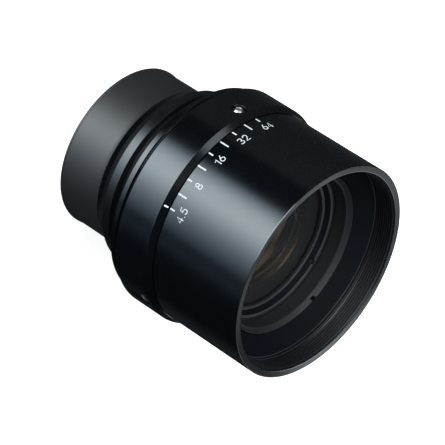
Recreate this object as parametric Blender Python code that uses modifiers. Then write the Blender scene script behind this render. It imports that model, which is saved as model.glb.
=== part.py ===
# Machine vision lens, standing on its rear face with the optical axis along +Z.
# Lengths below are in millimetres and angles in degrees; MM turns lengths into metres.
# Azimuth is measured round +Z from +X, and the aperture index mark faces -Y.
import math

import bmesh
import bpy

MM = 0.001

# Outer form, from the front barrel's radius inwards and rearwards
APERTURE_RING_RADIUS = 31.0
APERTURE_RING_WALL = 3.3
INDEX_RING_STEP = 1.3
INDEX_RING_WALL = 3.6
INDEX_RING_LENGTH = 13.65
INDEX_REAR_CHAMFER = 1.35
INDEX_BEVEL_LENGTH = 1.7
INDEX_BEVEL_DEPTH = 1.15
SHOULDER_STEP = 0.15
SHOULDER_CONE_RISE = 4.25
SHOULDER_CONE_LENGTH = 4.05
SHOULDER_BAND_LENGTH = 1.65
GROOVE_LENGTH = 1.5
FLANGE_STEP = 0.6
FLANGE_LENGTH = 2.65
COVE_RISE = 2.7
COVE_LENGTH = 6.2
REAR_TUBE_LENGTH = 12.6
REAR_LIP_HEIGHT = 0.25
REAR_LIP_LENGTH = 0.55
EDGE_CHAMFER = 0.25

# Clearances
GAP = 0.3
RUNNING_GAP = 0.3
PIN_GAP = 0.15
LENS_GAP = 0.2

# Front of the aperture ring
FILTER_THREAD_WALL = 2.4
FILTER_THREAD_LENGTH = 6.7
FILTER_MOUTH_FLARE = 0.5
HOOD_CONE_LENGTH = 3.3
RING_RECESS_LENGTH = 1.7
RING_LIP_LENGTH = 1.0
RETAINER_HEAD_STEP = 0.65
RETAINER_WALL = 0.6
RETAINER_HEAD_LENGTH = 1.6
RETAINER_CHAMFER_LENGTH = 1.3
RETAINER_CHAMFER_DEPTH = 0.75
RETAINER_SHANK_LENGTH = 3.7
SPANNER_SLOT_WIDTH = 1.1
SPANNER_SLOT_DEPTH = 1.0
SPANNER_SLOT_AZIMUTH = 60.7

# Inner barrel and the rear tube's bore
BARREL_WALL = 2.8
BARREL_FRONT_WALL = 4.4
BARREL_WEB_LENGTH = 1.2
BARREL_WEB_DEPTH = 4.2
SPIGOT_LENGTH = 4.75
REAR_TUBE_WALL = 2.3
REAR_MOUTH_LENGTH = 7.0
REAR_BORE_STEP = 1.4

# Optical cells
REAR_CELL_CLEARANCE = 0.5
REAR_CELL_RECESS = 1.2
REAR_CELL_WALL = 2.0
REAR_FLANGE_LENGTH = 8.4
CELL_WALL = 1.7
SEAT_LIP = 1.3
DOUBLET_MARGIN = 1.2
DOUBLET_EDGE = 3.0
FRONT_CELL_LENGTH = 6.14
FRONT_CELL_WALL = 0.7
FRONT_ELEMENT_EDGE = 2.0
REAR_ELEMENT_EDGE = 2.6
REAR_ELEMENT_DEPTH = 4.6
FRONT_ELEMENT_CURVES = (80.0, 130.0)
FRONT_DOUBLET_CURVES = (46.0, 34.0)
REAR_DOUBLET_CURVES = (-34.0, -46.0)
REAR_ELEMENT_CURVES = (95.0, -62.0)
LOCK_RING_LENGTH = 2.35
LOCK_FACE_WIDTH = 0.85
LOCK_LIP_LENGTH = 0.95
NOTCH_WIDTH = 1.2
NOTCH_DEPTH = 0.8
NOTCH_AZIMUTH = 81.0

# Iris
BLADE_COUNT = 8
FIRST_PIVOT_AZIMUTH = 3.0
PIVOT_MARGIN = 3.0
BLADE_MARGIN = 1.6
BLADE_WIDTH = 6.6
BLADE_START = -2.0
BLADE_SHOULDER = 6.0
BLADE_END = 146.0
BLADE_THICKNESS = 0.12
BLADE_PITCH = 0.22
PIVOT_STUD_RADIUS = 0.5
EAR_RADIUS = 1.1
EAR_START = -20.0
EAR_END = 80.0
ARM_LENGTH = 4.8
ARM_ANGLE = -104.0
ACTUATOR_STUD_RADIUS = 0.4
HEEL_RADIUS = 0.75
HEEL_SPREAD = 80.0
RING_TRAVEL = 64.5
SMALLEST_APERTURE_RADIUS = 0.95
BASE_PLATE_THICKNESS = 1.0
BASE_PLATE_MARGIN = 0.2
CAM_RING_THICKNESS = 2.0
CAM_RING_MARGIN = 0.8
COVER_RING_THICKNESS = 1.3
COVER_RING_MARGIN = 1.0
DRIVE_PIN_RADIUS = 0.7
DRIVE_PIN_AZIMUTH = 57.0
DRIVE_PIN_DEPTH = 1.6
KEYWAY_WALL = 1.4
DRIVE_SLOT_OVERRUN = 2.0

# Set screws of the index ring
SET_SCREW_COUNT = 3
SET_SCREW_RADIUS = 1.25
SET_SCREW_SETBACK = 4.4
SET_SCREW_AZIMUTH = -151.5
SET_SCREW_RECESS = 0.5
HEX_SOCKET_RADIUS = 0.75
HEX_SOCKET_DEPTH = 1.0
COUNTERSINK_DEPTH = 0.35

# Facets round each kind of piece
OUTER_STEPS = 48
INNER_STEPS = 40
CELL_STEPS = 32
GLASS_STEPS = 24
SPHERE_RINGS = 2
SCREW_SIDES = 12
PIN_SIDES = 10
STUD_SIDES = 6
SOCKET_SIDES = 6
COVE_POINTS = (1.0, 0.67, 0.33)
CAM_SLOT_STEPS = 5
SLOT_ARC_STEPS = 8
CUT_MARGIN = 1.0

# Radii that follow from the sizes above, outer pieces first
INDEX_RING_RADIUS = APERTURE_RING_RADIUS + INDEX_RING_STEP
SHOULDER_RADIUS = APERTURE_RING_RADIUS - SHOULDER_STEP
SHOULDER_REAR_RADIUS = SHOULDER_RADIUS - SHOULDER_CONE_RISE
FLANGE_RADIUS = SHOULDER_REAR_RADIUS - FLANGE_STEP
REAR_TUBE_RADIUS = FLANGE_RADIUS - COVE_RISE
REAR_MOUTH_RADIUS = REAR_TUBE_RADIUS - REAR_TUBE_WALL
REAR_BORE_RADIUS = REAR_MOUTH_RADIUS - REAR_BORE_STEP
REAR_CELL_RADIUS = REAR_BORE_RADIUS - REAR_CELL_CLEARANCE
REAR_ELEMENT_RADIUS = REAR_CELL_RADIUS - REAR_CELL_WALL - LENS_GAP
FILTER_THREAD_RADIUS = APERTURE_RING_RADIUS - FILTER_THREAD_WALL
FILTER_MOUTH_RADIUS = FILTER_THREAD_RADIUS + FILTER_MOUTH_FLARE
SEAT_RADIUS = INDEX_RING_RADIUS - INDEX_RING_WALL - GAP
RUNNING_RADIUS = APERTURE_RING_RADIUS - APERTURE_RING_WALL - RUNNING_GAP
CHAMBER_RADIUS = RUNNING_RADIUS - BARREL_WALL
SPIGOT_RADIUS = CHAMBER_RADIUS - GAP
REAR_FLANGE_RADIUS = CHAMBER_RADIUS - GAP
IRIS_PLATE_RADIUS = CHAMBER_RADIUS - GAP
BARREL_WEB_RADIUS = CHAMBER_RADIUS - BARREL_WEB_DEPTH
FRONT_BORE_RADIUS = RUNNING_RADIUS - BARREL_FRONT_WALL
RETAINER_SHANK_RADIUS = FRONT_BORE_RADIUS - GAP
RETAINER_RADIUS = RETAINER_SHANK_RADIUS + RETAINER_HEAD_STEP
RETAINER_BORE_RADIUS = RETAINER_SHANK_RADIUS - RETAINER_WALL
FRONT_CELL_RADIUS = FRONT_BORE_RADIUS - GAP
FRONT_ELEMENT_RADIUS = FRONT_CELL_RADIUS - FRONT_CELL_WALL - LENS_GAP
FRONT_ELEMENT_CLEAR_RADIUS = FRONT_ELEMENT_RADIUS - 2 * SEAT_LIP
PIVOT_CIRCLE_RADIUS = IRIS_PLATE_RADIUS - PIVOT_MARGIN
BLADE_OUTER_RADIUS = PIVOT_CIRCLE_RADIUS - BLADE_MARGIN
BLADE_INNER_RADIUS = BLADE_OUTER_RADIUS - BLADE_WIDTH
DOUBLET_RADIUS = BLADE_INNER_RADIUS + DOUBLET_MARGIN
BASE_PLATE_OPENING = BLADE_INNER_RADIUS + BASE_PLATE_MARGIN
CAM_RING_OPENING = BLADE_INNER_RADIUS + CAM_RING_MARGIN
FRONT_NOSE_RADIUS = DOUBLET_RADIUS + LENS_GAP + CELL_WALL
COVER_RING_OPENING = FRONT_NOSE_RADIUS + COVER_RING_MARGIN
DRIVE_PIN_REACH = APERTURE_RING_RADIUS - KEYWAY_WALL - GAP

# Stations along the axis, from the rear face to the iris
FLANGE_START = REAR_TUBE_LENGTH + COVE_LENGTH
FLANGE_END = FLANGE_START + FLANGE_LENGTH
SHOULDER_START = FLANGE_END + GROOVE_LENGTH
SHOULDER_BAND_START = SHOULDER_START + SHOULDER_CONE_LENGTH
SHOULDER_END = SHOULDER_BAND_START + SHOULDER_BAND_LENGTH
INDEX_START = SHOULDER_END + GAP
INDEX_END = INDEX_START + INDEX_RING_LENGTH
SET_SCREW_HEIGHT = INDEX_END - SET_SCREW_SETBACK
RING_START = INDEX_END + GAP
BARREL_START = INDEX_START
SPIGOT_END = BARREL_START + SPIGOT_LENGTH
REAR_CELL_START = REAR_MOUTH_LENGTH + REAR_CELL_RECESS
REAR_FLANGE_START = SPIGOT_END + GAP
REAR_CELL_END = REAR_FLANGE_START + REAR_FLANGE_LENGTH

# Stations of the iris, from its base plate forwards
BASE_PLATE_START = REAR_CELL_END + GAP
BASE_PLATE_END = BASE_PLATE_START + BASE_PLATE_THICKNESS
BLADE_FIRST = BASE_PLATE_END + PIN_GAP
BLADES_END = BLADE_FIRST + (BLADE_COUNT - 1) * BLADE_PITCH + BLADE_THICKNESS
CAM_RING_START = BLADES_END + PIN_GAP
CAM_RING_END = CAM_RING_START + CAM_RING_THICKNESS
COVER_RING_START = CAM_RING_END + GAP
COVER_RING_END = COVER_RING_START + COVER_RING_THICKNESS
BLADE_SWING = 2 * math.degrees(
    math.asin((BLADE_INNER_RADIUS - SMALLEST_APERTURE_RADIUS) / (2 * PIVOT_CIRCLE_RADIUS))
)
BLADE_RATIO = BLADE_SWING / RING_TRAVEL

# Stations from the iris to the front rim
WEB_START = COVER_RING_END + GAP
WEB_END = WEB_START + BARREL_WEB_LENGTH
FRONT_CELL_FLOOR = WEB_END + GAP
FRONT_CELL_END = FRONT_CELL_FLOOR + FRONT_CELL_LENGTH
RETAINER_START = FRONT_CELL_END + GAP
RETAINER_HEAD_START = RETAINER_START + RETAINER_SHANK_LENGTH
RETAINER_END = RETAINER_HEAD_START + RETAINER_HEAD_LENGTH
LIP_END = RETAINER_HEAD_START - GAP
LIP_START = LIP_END - RING_LIP_LENGTH
BARREL_END = LIP_START - GAP
CONE_START = LIP_END + RING_RECESS_LENGTH
THREAD_START = CONE_START + HOOD_CONE_LENGTH
RING_END = THREAD_START + FILTER_THREAD_LENGTH


def collection(name, hidden=False):
    """A collection in the scene, hidden from renders where it holds cutters."""
    made = bpy.data.collections.new(name)
    made.hide_render = hidden
    bpy.context.scene.collection.children.link(made)
    return made


def material(name, colour, roughness, metallic, transmission=0.0):
    """A Principled BSDF with the piece's own colour and finish."""
    made = bpy.data.materials.new(name)
    made.use_nodes = True
    shader = made.node_tree.nodes["Principled BSDF"]
    shader.inputs["Base Color"].default_value = (*colour, 1.0)
    shader.inputs["Roughness"].default_value = roughness
    shader.inputs["Metallic"].default_value = metallic
    shader.inputs["Transmission Weight"].default_value = transmission
    return made


def polar(radius, azimuth):
    """A point in the plane, in millimetres."""
    angle = math.radians(azimuth)
    return (radius * math.cos(angle), radius * math.sin(angle))


def arc_points(centre, radius, start, end, count):
    """Points along an arc, both ends included."""
    points = []
    for step in range(count + 1):
        x, y = polar(radius, start + (end - start) * step / count)
        points.append((centre[0] + x, centre[1] + y))
    return points


def new_object(name, bm, home, surface=None):
    """An object from a bmesh drawn in millimetres."""
    mesh = bpy.data.meshes.new(name)
    bmesh.ops.scale(bm, vec=(MM, MM, MM), verts=bm.verts)
    bm.to_mesh(mesh)
    bm.free()
    made = bpy.data.objects.new(name, mesh)
    if surface is not None:
        mesh.materials.append(surface)
    home.objects.link(made)
    return made


def turned(name, profile, steps, surface=None, home=None):
    """A piece turned about Z. The profile runs down its outer side and back up its inner side."""
    bm = bmesh.new()
    verts = [bm.verts.new((radius, 0.0, height)) for radius, height in profile]
    solid_core = profile[0][0] == 0.0
    for first, second in zip(verts, verts[1:]):
        bm.edges.new((first, second))
    if not solid_core:
        bm.edges.new((verts[-1], verts[0]))
    made = new_object(name, bm, home or lens, surface)
    screw = made.modifiers.new("turning", "SCREW")
    screw.axis = "Z"
    screw.angle = math.tau
    screw.steps = steps
    screw.render_steps = steps
    screw.use_merge_vertices = True
    screw.merge_threshold = 0.00001
    return made


def cylinder(name, radius, base, top, sides, home, surface=None, centre=(0.0, 0.0)):
    """An upright cylinder between two heights."""
    bm = bmesh.new()
    bmesh.ops.create_cone(
        bm, cap_ends=True, segments=sides, radius1=radius, radius2=radius, depth=top - base
    )
    bmesh.ops.translate(bm, vec=(centre[0], centre[1], (top + base) / 2), verts=bm.verts)
    return new_object(name, bm, home, surface)


def aim_outwards(piece, height, azimuth):
    """Lays a piece that was drawn along Z along a radius of the lens."""
    piece.rotation_euler = (0.0, math.radians(90.0), math.radians(azimuth))
    piece.location = (0.0, 0.0, height * MM)
    return piece


def radial_rod(name, radius, inner, outer, height, azimuth, sides, home, surface=None):
    """A round rod along a radius of the lens, between two distances from the axis."""
    return aim_outwards(cylinder(name, radius, inner, outer, sides, home, surface), height, azimuth)


def radial_box(name, width, inner, outer, base, top, azimuth, home):
    """A box along a radius of the lens, for slots and keyways."""
    bm = bmesh.new()
    bmesh.ops.create_cube(bm, size=1.0)
    bmesh.ops.scale(bm, vec=(outer - inner, width, top - base), verts=bm.verts)
    bmesh.ops.translate(bm, vec=((outer + inner) / 2, 0.0, (top + base) / 2), verts=bm.verts)
    made = new_object(name, bm, home)
    made.rotation_euler = (0.0, 0.0, math.radians(azimuth))
    return made


def plate(name, outline, base, thickness, home, surface=None):
    """A flat plate of any outline, drawn anticlockwise."""
    bm = bmesh.new()
    face = bm.faces.new([bm.verts.new((x, y, base)) for x, y in outline])
    grown = bmesh.ops.extrude_face_region(bm, geom=[face])
    top = [item for item in grown["geom"] if isinstance(item, bmesh.types.BMVert)]
    bmesh.ops.translate(bm, vec=(0.0, 0.0, thickness), verts=top)
    bmesh.ops.recalc_face_normals(bm, faces=bm.faces)
    return new_object(name, bm, home, surface)


def combine(target, tool, operation="DIFFERENCE"):
    """Cuts a tool from a piece, or joins it on."""
    change = target.modifiers.new(tool.name, "BOOLEAN")
    change.operation = operation
    change.solver = "EXACT"
    change.object = tool
    tool.display_type = "WIRE"


def sphere_profile(start_radius, end_radius, vertex_height, curvature, rings):
    """Points on a spherical face, where a positive curvature radius bows up the axis."""
    points = []
    for step in range(rings + 1):
        radius = start_radius + (end_radius - start_radius) * step / rings
        sag = abs(curvature) - math.sqrt(curvature**2 - radius**2)
        points.append((radius, vertex_height - math.copysign(sag, curvature)))
    return points


def glass(name, radius, clear, base, edge, curves):
    """A lens element with ground flats round its two spherical faces, front curve first."""
    front_curve, rear_curve = curves
    front_sag = math.copysign(abs(front_curve) - math.sqrt(front_curve**2 - clear**2), front_curve)
    rear_sag = math.copysign(abs(rear_curve) - math.sqrt(rear_curve**2 - clear**2), rear_curve)
    front = sphere_profile(0.0, clear, base + edge + front_sag, front_curve, SPHERE_RINGS)
    rear = sphere_profile(clear, 0.0, base + rear_sag, rear_curve, SPHERE_RINGS)
    rim = [(radius, base + edge), (radius, base)]
    return turned(name, front + rim + rear, GLASS_STEPS, coated_glass)


def build_rear_mount_tube():
    """Rear tube with its lip, the cove up to the flange, the flange and the threaded spigot."""
    lip_radius = REAR_TUBE_RADIUS + REAR_LIP_HEIGHT
    cove = []
    for share in COVE_POINTS:
        rise = COVE_RISE * (1 - math.cos(math.radians(90 * share)))
        cove.append((REAR_TUBE_RADIUS + rise, REAR_TUBE_LENGTH + COVE_LENGTH * share))
    profile = [
        (SPIGOT_RADIUS, SPIGOT_END),
        (SPIGOT_RADIUS, FLANGE_END),
        (FLANGE_RADIUS - EDGE_CHAMFER, FLANGE_END),
        (FLANGE_RADIUS, FLANGE_END - EDGE_CHAMFER),
        *cove,
        (REAR_TUBE_RADIUS, REAR_TUBE_LENGTH),
        (REAR_TUBE_RADIUS, REAR_LIP_LENGTH),
        (lip_radius, REAR_LIP_LENGTH),
        (lip_radius, EDGE_CHAMFER),
        (lip_radius - EDGE_CHAMFER, 0.0),
        (REAR_MOUTH_RADIUS, 0.0),
        (REAR_MOUTH_RADIUS, REAR_MOUTH_LENGTH),
        (REAR_BORE_RADIUS, REAR_MOUTH_LENGTH),
        (REAR_BORE_RADIUS, SPIGOT_END),
    ]
    return turned("rear_mount_tube", profile, OUTER_STEPS, satin_black)


def build_shoulder_ring():
    """Conical ring clamped between the rear flange and the barrel."""
    profile = [
        (SHOULDER_RADIUS, SHOULDER_END),
        (SHOULDER_RADIUS, SHOULDER_BAND_START),
        (SHOULDER_REAR_RADIUS, SHOULDER_START),
        (CHAMBER_RADIUS, SHOULDER_START),
        (CHAMBER_RADIUS, SHOULDER_END),
    ]
    return turned("shoulder_ring", profile, OUTER_STEPS, gloss_black)


def build_index_ring():
    """Fixed ring that carries the index mark, with three tapped holes for its set screws."""
    rear_radius = INDEX_RING_RADIUS - INDEX_REAR_CHAMFER
    profile = [
        (INDEX_RING_RADIUS - INDEX_BEVEL_DEPTH, INDEX_END),
        (INDEX_RING_RADIUS, INDEX_END - INDEX_BEVEL_LENGTH),
        (INDEX_RING_RADIUS, INDEX_START + INDEX_REAR_CHAMFER),
        (rear_radius, INDEX_START),
        (SEAT_RADIUS + GAP, INDEX_START),
        (SEAT_RADIUS + GAP, INDEX_END),
    ]
    ring = turned("index_ring", profile, OUTER_STEPS, gloss_black)
    hole_radius = SET_SCREW_RADIUS + GAP
    top = INDEX_RING_RADIUS + CUT_MARGIN
    hole_profile = [
        (0.0, top),
        (hole_radius + COUNTERSINK_DEPTH + CUT_MARGIN, top),
        (hole_radius, INDEX_RING_RADIUS - COUNTERSINK_DEPTH),
        (hole_radius, SEAT_RADIUS),
        (0.0, SEAT_RADIUS),
    ]
    for number in range(SET_SCREW_COUNT):
        azimuth = SET_SCREW_AZIMUTH + 360 * number / SET_SCREW_COUNT
        hole = turned(f"screw_hole_{number + 1}", hole_profile, SCREW_SIDES, home=cutters)
        combine(ring, aim_outwards(hole, SET_SCREW_HEIGHT, azimuth))
    return ring


def build_set_screws():
    """Grub screws with a hexagon socket, their tips against the barrel's seat."""
    for number in range(SET_SCREW_COUNT):
        azimuth = SET_SCREW_AZIMUTH + 360 * number / SET_SCREW_COUNT
        head = INDEX_RING_RADIUS - SET_SCREW_RECESS
        screw = radial_rod(
            f"set_screw_{number + 1}", SET_SCREW_RADIUS, SEAT_RADIUS + GAP, head,
            SET_SCREW_HEIGHT, azimuth, SCREW_SIDES, lens, bright_steel,
        )
        socket = radial_rod(
            f"hex_socket_{number + 1}", HEX_SOCKET_RADIUS, head - HEX_SOCKET_DEPTH,
            head + CUT_MARGIN, SET_SCREW_HEIGHT, azimuth, SOCKET_SIDES, cutters,
        )
        combine(screw, socket)


def build_inner_barrel():
    """Main body. The iris and rear cell go in from the rear, the front cell from the front."""
    profile = [
        (RUNNING_RADIUS, BARREL_END),
        (RUNNING_RADIUS, RING_START),
        (SEAT_RADIUS, INDEX_END),
        (SEAT_RADIUS, BARREL_START),
        (CHAMBER_RADIUS, BARREL_START),
        (CHAMBER_RADIUS, WEB_START),
        (BARREL_WEB_RADIUS, WEB_START),
        (BARREL_WEB_RADIUS, WEB_END),
        (FRONT_BORE_RADIUS, WEB_END),
        (FRONT_BORE_RADIUS, BARREL_END),
    ]
    barrel = turned("inner_barrel", profile, INNER_STEPS, satin_black)
    height = (CAM_RING_START + CAM_RING_END) / 2
    half_width = DRIVE_PIN_RADIUS + PIN_GAP
    half_angle = math.degrees(half_width / RUNNING_RADIUS) + DRIVE_SLOT_OVERRUN
    start = DRIVE_PIN_AZIMUTH - half_angle
    end = DRIVE_PIN_AZIMUTH + RING_TRAVEL + half_angle
    outline = arc_points((0.0, 0.0), RUNNING_RADIUS + CUT_MARGIN, start, end, SLOT_ARC_STEPS)
    outline += arc_points((0.0, 0.0), CHAMBER_RADIUS - CUT_MARGIN, end, start, SLOT_ARC_STEPS)
    slot = plate("drive_slot", outline, height - half_width, 2 * half_width, cutters)
    combine(barrel, slot)
    return barrel


def build_rear_cell():
    """Rear optical cell, held by its flange behind the iris."""
    bore = DOUBLET_RADIUS + LENS_GAP
    doublet_seat = REAR_CELL_END - DOUBLET_EDGE - LENS_GAP
    element_bore = REAR_ELEMENT_RADIUS + LENS_GAP
    element_seat = REAR_CELL_START + REAR_ELEMENT_DEPTH + REAR_ELEMENT_EDGE
    profile = [
        (REAR_FLANGE_RADIUS, REAR_CELL_END),
        (REAR_FLANGE_RADIUS, REAR_FLANGE_START),
        (REAR_CELL_RADIUS, REAR_FLANGE_START),
        (REAR_CELL_RADIUS, REAR_CELL_START),
        (element_bore, REAR_CELL_START),
        (element_bore, element_seat),
        (bore, element_seat + CELL_WALL),
        (bore - SEAT_LIP, doublet_seat),
        (bore, doublet_seat),
        (bore, REAR_CELL_END),
    ]
    turned("rear_cell", profile, CELL_STEPS, matte_black)
    glass(
        "rear_doublet", DOUBLET_RADIUS, DOUBLET_RADIUS - SEAT_LIP, doublet_seat + LENS_GAP,
        DOUBLET_EDGE - LENS_GAP, REAR_DOUBLET_CURVES,
    )
    glass(
        "rear_element", REAR_ELEMENT_RADIUS, REAR_ELEMENT_RADIUS - SEAT_LIP,
        element_seat - LENS_GAP - REAR_ELEMENT_EDGE, REAR_ELEMENT_EDGE, REAR_ELEMENT_CURVES,
    )
    lock_end = element_seat - 2 * LENS_GAP - REAR_ELEMENT_EDGE
    lock = [
        (REAR_ELEMENT_RADIUS, lock_end),
        (REAR_ELEMENT_RADIUS, lock_end - LOCK_RING_LENGTH),
        (REAR_ELEMENT_RADIUS - LOCK_FACE_WIDTH, lock_end - LOCK_RING_LENGTH),
        (REAR_ELEMENT_RADIUS - SEAT_LIP, lock_end),
    ]
    turned("rear_retaining_ring", lock, CELL_STEPS, matte_black)


def build_front_cell():
    """Front optical cell with the cemented doublet behind and the front element ahead."""
    bore = DOUBLET_RADIUS + LENS_GAP
    nose_start = CAM_RING_END + GAP
    doublet_seat = nose_start + SEAT_LIP / 2
    element_bore = FRONT_ELEMENT_RADIUS + LENS_GAP
    element_seat = FRONT_CELL_FLOOR + SEAT_LIP
    profile = [
        (FRONT_CELL_RADIUS, FRONT_CELL_END),
        (FRONT_CELL_RADIUS, FRONT_CELL_FLOOR),
        (FRONT_NOSE_RADIUS, FRONT_CELL_FLOOR),
        (FRONT_NOSE_RADIUS, nose_start),
        (bore - SEAT_LIP, nose_start),
        (bore - SEAT_LIP, doublet_seat),
        (bore, doublet_seat),
        (bore, element_seat - SEAT_LIP / 2),
        (element_bore - 2 * SEAT_LIP, element_seat),
        (element_bore, element_seat),
        (element_bore, FRONT_CELL_END),
    ]
    turned("front_cell", profile, CELL_STEPS, matte_black)
    glass(
        "front_doublet", DOUBLET_RADIUS, DOUBLET_RADIUS - SEAT_LIP, doublet_seat + LENS_GAP,
        DOUBLET_EDGE, FRONT_DOUBLET_CURVES,
    )
    glass(
        "front_element", FRONT_ELEMENT_RADIUS, FRONT_ELEMENT_CLEAR_RADIUS, element_seat + LENS_GAP,
        FRONT_ELEMENT_EDGE, FRONT_ELEMENT_CURVES,
    )
    lock_start = element_seat + 2 * LENS_GAP + FRONT_ELEMENT_EDGE
    face_inner = FRONT_ELEMENT_RADIUS - LOCK_FACE_WIDTH
    lip_outer = FRONT_ELEMENT_CLEAR_RADIUS + LOCK_FACE_WIDTH
    lock = [
        (FRONT_ELEMENT_RADIUS, lock_start + LOCK_RING_LENGTH),
        (FRONT_ELEMENT_RADIUS, lock_start),
        (FRONT_ELEMENT_CLEAR_RADIUS, lock_start),
        (FRONT_ELEMENT_CLEAR_RADIUS, lock_start + LOCK_LIP_LENGTH),
        (lip_outer, lock_start + LOCK_LIP_LENGTH),
        (face_inner, lock_start + LOCK_RING_LENGTH),
    ]
    ring = turned("front_retaining_ring", lock, CELL_STEPS, matte_black)
    top = lock_start + LOCK_RING_LENGTH
    for number in range(2):
        notch = radial_box(
            f"lock_notch_{number + 1}", NOTCH_WIDTH, face_inner - CUT_MARGIN / 2,
            FRONT_ELEMENT_RADIUS + CUT_MARGIN, top - NOTCH_DEPTH, top + CUT_MARGIN,
            NOTCH_AZIMUTH + 180 * number, cutters,
        )
        combine(ring, notch)


def build_barrel_retaining_ring():
    """Ring screwed into the barrel. Its head keeps the aperture ring on."""
    chamfer_radius = RETAINER_BORE_RADIUS + RETAINER_CHAMFER_DEPTH
    profile = [
        (RETAINER_RADIUS, RETAINER_END),
        (RETAINER_RADIUS, RETAINER_HEAD_START),
        (RETAINER_SHANK_RADIUS, RETAINER_HEAD_START),
        (RETAINER_SHANK_RADIUS, RETAINER_START),
        (RETAINER_BORE_RADIUS, RETAINER_START),
        (RETAINER_BORE_RADIUS, RETAINER_END - RETAINER_CHAMFER_LENGTH),
        (chamfer_radius, RETAINER_END),
    ]
    ring = turned("barrel_retaining_ring", profile, INNER_STEPS, satin_black)
    for number in range(2):
        slot = radial_box(
            f"spanner_slot_{number + 1}", SPANNER_SLOT_WIDTH, RETAINER_BORE_RADIUS - CUT_MARGIN,
            RETAINER_RADIUS + CUT_MARGIN, RETAINER_END - SPANNER_SLOT_DEPTH,
            RETAINER_END + CUT_MARGIN, SPANNER_SLOT_AZIMUTH + 180 * number, cutters,
        )
        combine(ring, slot)


def build_aperture_ring():
    """Turning outer sleeve with the scale, the filter thread and the conical front."""
    bore = RUNNING_RADIUS + RUNNING_GAP
    recess_radius = RETAINER_RADIUS + GAP
    profile = [
        (APERTURE_RING_RADIUS - EDGE_CHAMFER, RING_END),
        (APERTURE_RING_RADIUS, RING_END - EDGE_CHAMFER),
        (APERTURE_RING_RADIUS, RING_START),
        (bore, RING_START),
        (bore, LIP_START),
        (FRONT_BORE_RADIUS, LIP_START),
        (FRONT_BORE_RADIUS, LIP_END),
        (recess_radius, LIP_END),
        (recess_radius, CONE_START),
        (FILTER_THREAD_RADIUS, THREAD_START),
        (FILTER_THREAD_RADIUS, RING_END - (FILTER_MOUTH_RADIUS - FILTER_THREAD_RADIUS)),
        (FILTER_MOUTH_RADIUS, RING_END),
    ]
    ring = turned("aperture_ring", profile, OUTER_STEPS, gloss_black)
    keyway = radial_box(
        "drive_keyway", 2 * (DRIVE_PIN_RADIUS + PIN_GAP), bore - CUT_MARGIN,
        APERTURE_RING_RADIUS - KEYWAY_WALL, RING_START - CUT_MARGIN,
        CAM_RING_END + GAP, DRIVE_PIN_AZIMUTH, cutters,
    )
    combine(ring, keyway)
    return ring


def actuator_point(ring_turn):
    """Place of the first blade's actuator stud when the aperture ring has turned that far."""
    x, y = polar(ARM_LENGTH, ARM_ANGLE + BLADE_RATIO * ring_turn)
    return (PIVOT_CIRCLE_RADIUS + x, y)


def slot_outline():
    """Cam slot for the first blade, in the cam ring's own frame at rest."""
    steps = CAM_SLOT_STEPS
    half = ACTUATOR_STUD_RADIUS + PIN_GAP
    # The corners lie as far outside the stud's path as the straight sides between them lie inside.
    spread = (1 + 1 / math.cos(math.radians(RING_TRAVEL / steps / 2))) / 2
    path = []
    for step in range(steps + 1):
        turn = RING_TRAVEL * step / steps
        x, y = actuator_point(turn)
        angle = math.radians(-turn)
        path.append((
            spread * (x * math.cos(angle) - y * math.sin(angle)),
            spread * (x * math.sin(angle) + y * math.cos(angle)),
        ))
    headings = []
    for step in range(steps + 1):
        before = path[max(step - 1, 0)]
        after = path[min(step + 1, steps)]
        headings.append(math.degrees(math.atan2(after[1] - before[1], after[0] - before[0])))
    outline = []
    for point, heading in zip(path[:-1], headings[:-1]):
        x, y = polar(half, heading - 90)
        outline.append((point[0] + x, point[1] + y))
    outline += arc_points(path[-1], half, headings[-1] - 90, headings[-1] + 90, 3)
    for point, heading in zip(path[-2:0:-1], headings[-2:0:-1]):
        x, y = polar(half, heading + 90)
        outline.append((point[0] + x, point[1] + y))
    outline += arc_points(path[0], half, headings[0] + 90, headings[0] + 270, 3)[:-1]
    return outline


def blade_outline():
    """Crescent blade with its pivot ear and its short actuator arm, drawn anticlockwise."""
    pivot = (PIVOT_CIRCLE_RADIUS, 0.0)
    heel = actuator_point(0.0)
    middle = (BLADE_INNER_RADIUS + BLADE_OUTER_RADIUS) / 2
    tip_radius = (BLADE_OUTER_RADIUS - BLADE_INNER_RADIUS) / 2
    outline = arc_points(
        heel, HEEL_RADIUS, ARM_ANGLE - HEEL_SPREAD, ARM_ANGLE + HEEL_SPREAD, 3
    )
    outline += arc_points(pivot, EAR_RADIUS, EAR_START, EAR_END, 3)
    outline += arc_points((0.0, 0.0), BLADE_OUTER_RADIUS, BLADE_SHOULDER, BLADE_END, 9)
    tip = polar(middle, BLADE_END)
    outline += arc_points(tip, tip_radius, BLADE_END, BLADE_END + 180, 4)[1:-1]
    outline += arc_points((0.0, 0.0), BLADE_INNER_RADIUS, BLADE_END, BLADE_START, 11)
    return outline


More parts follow.
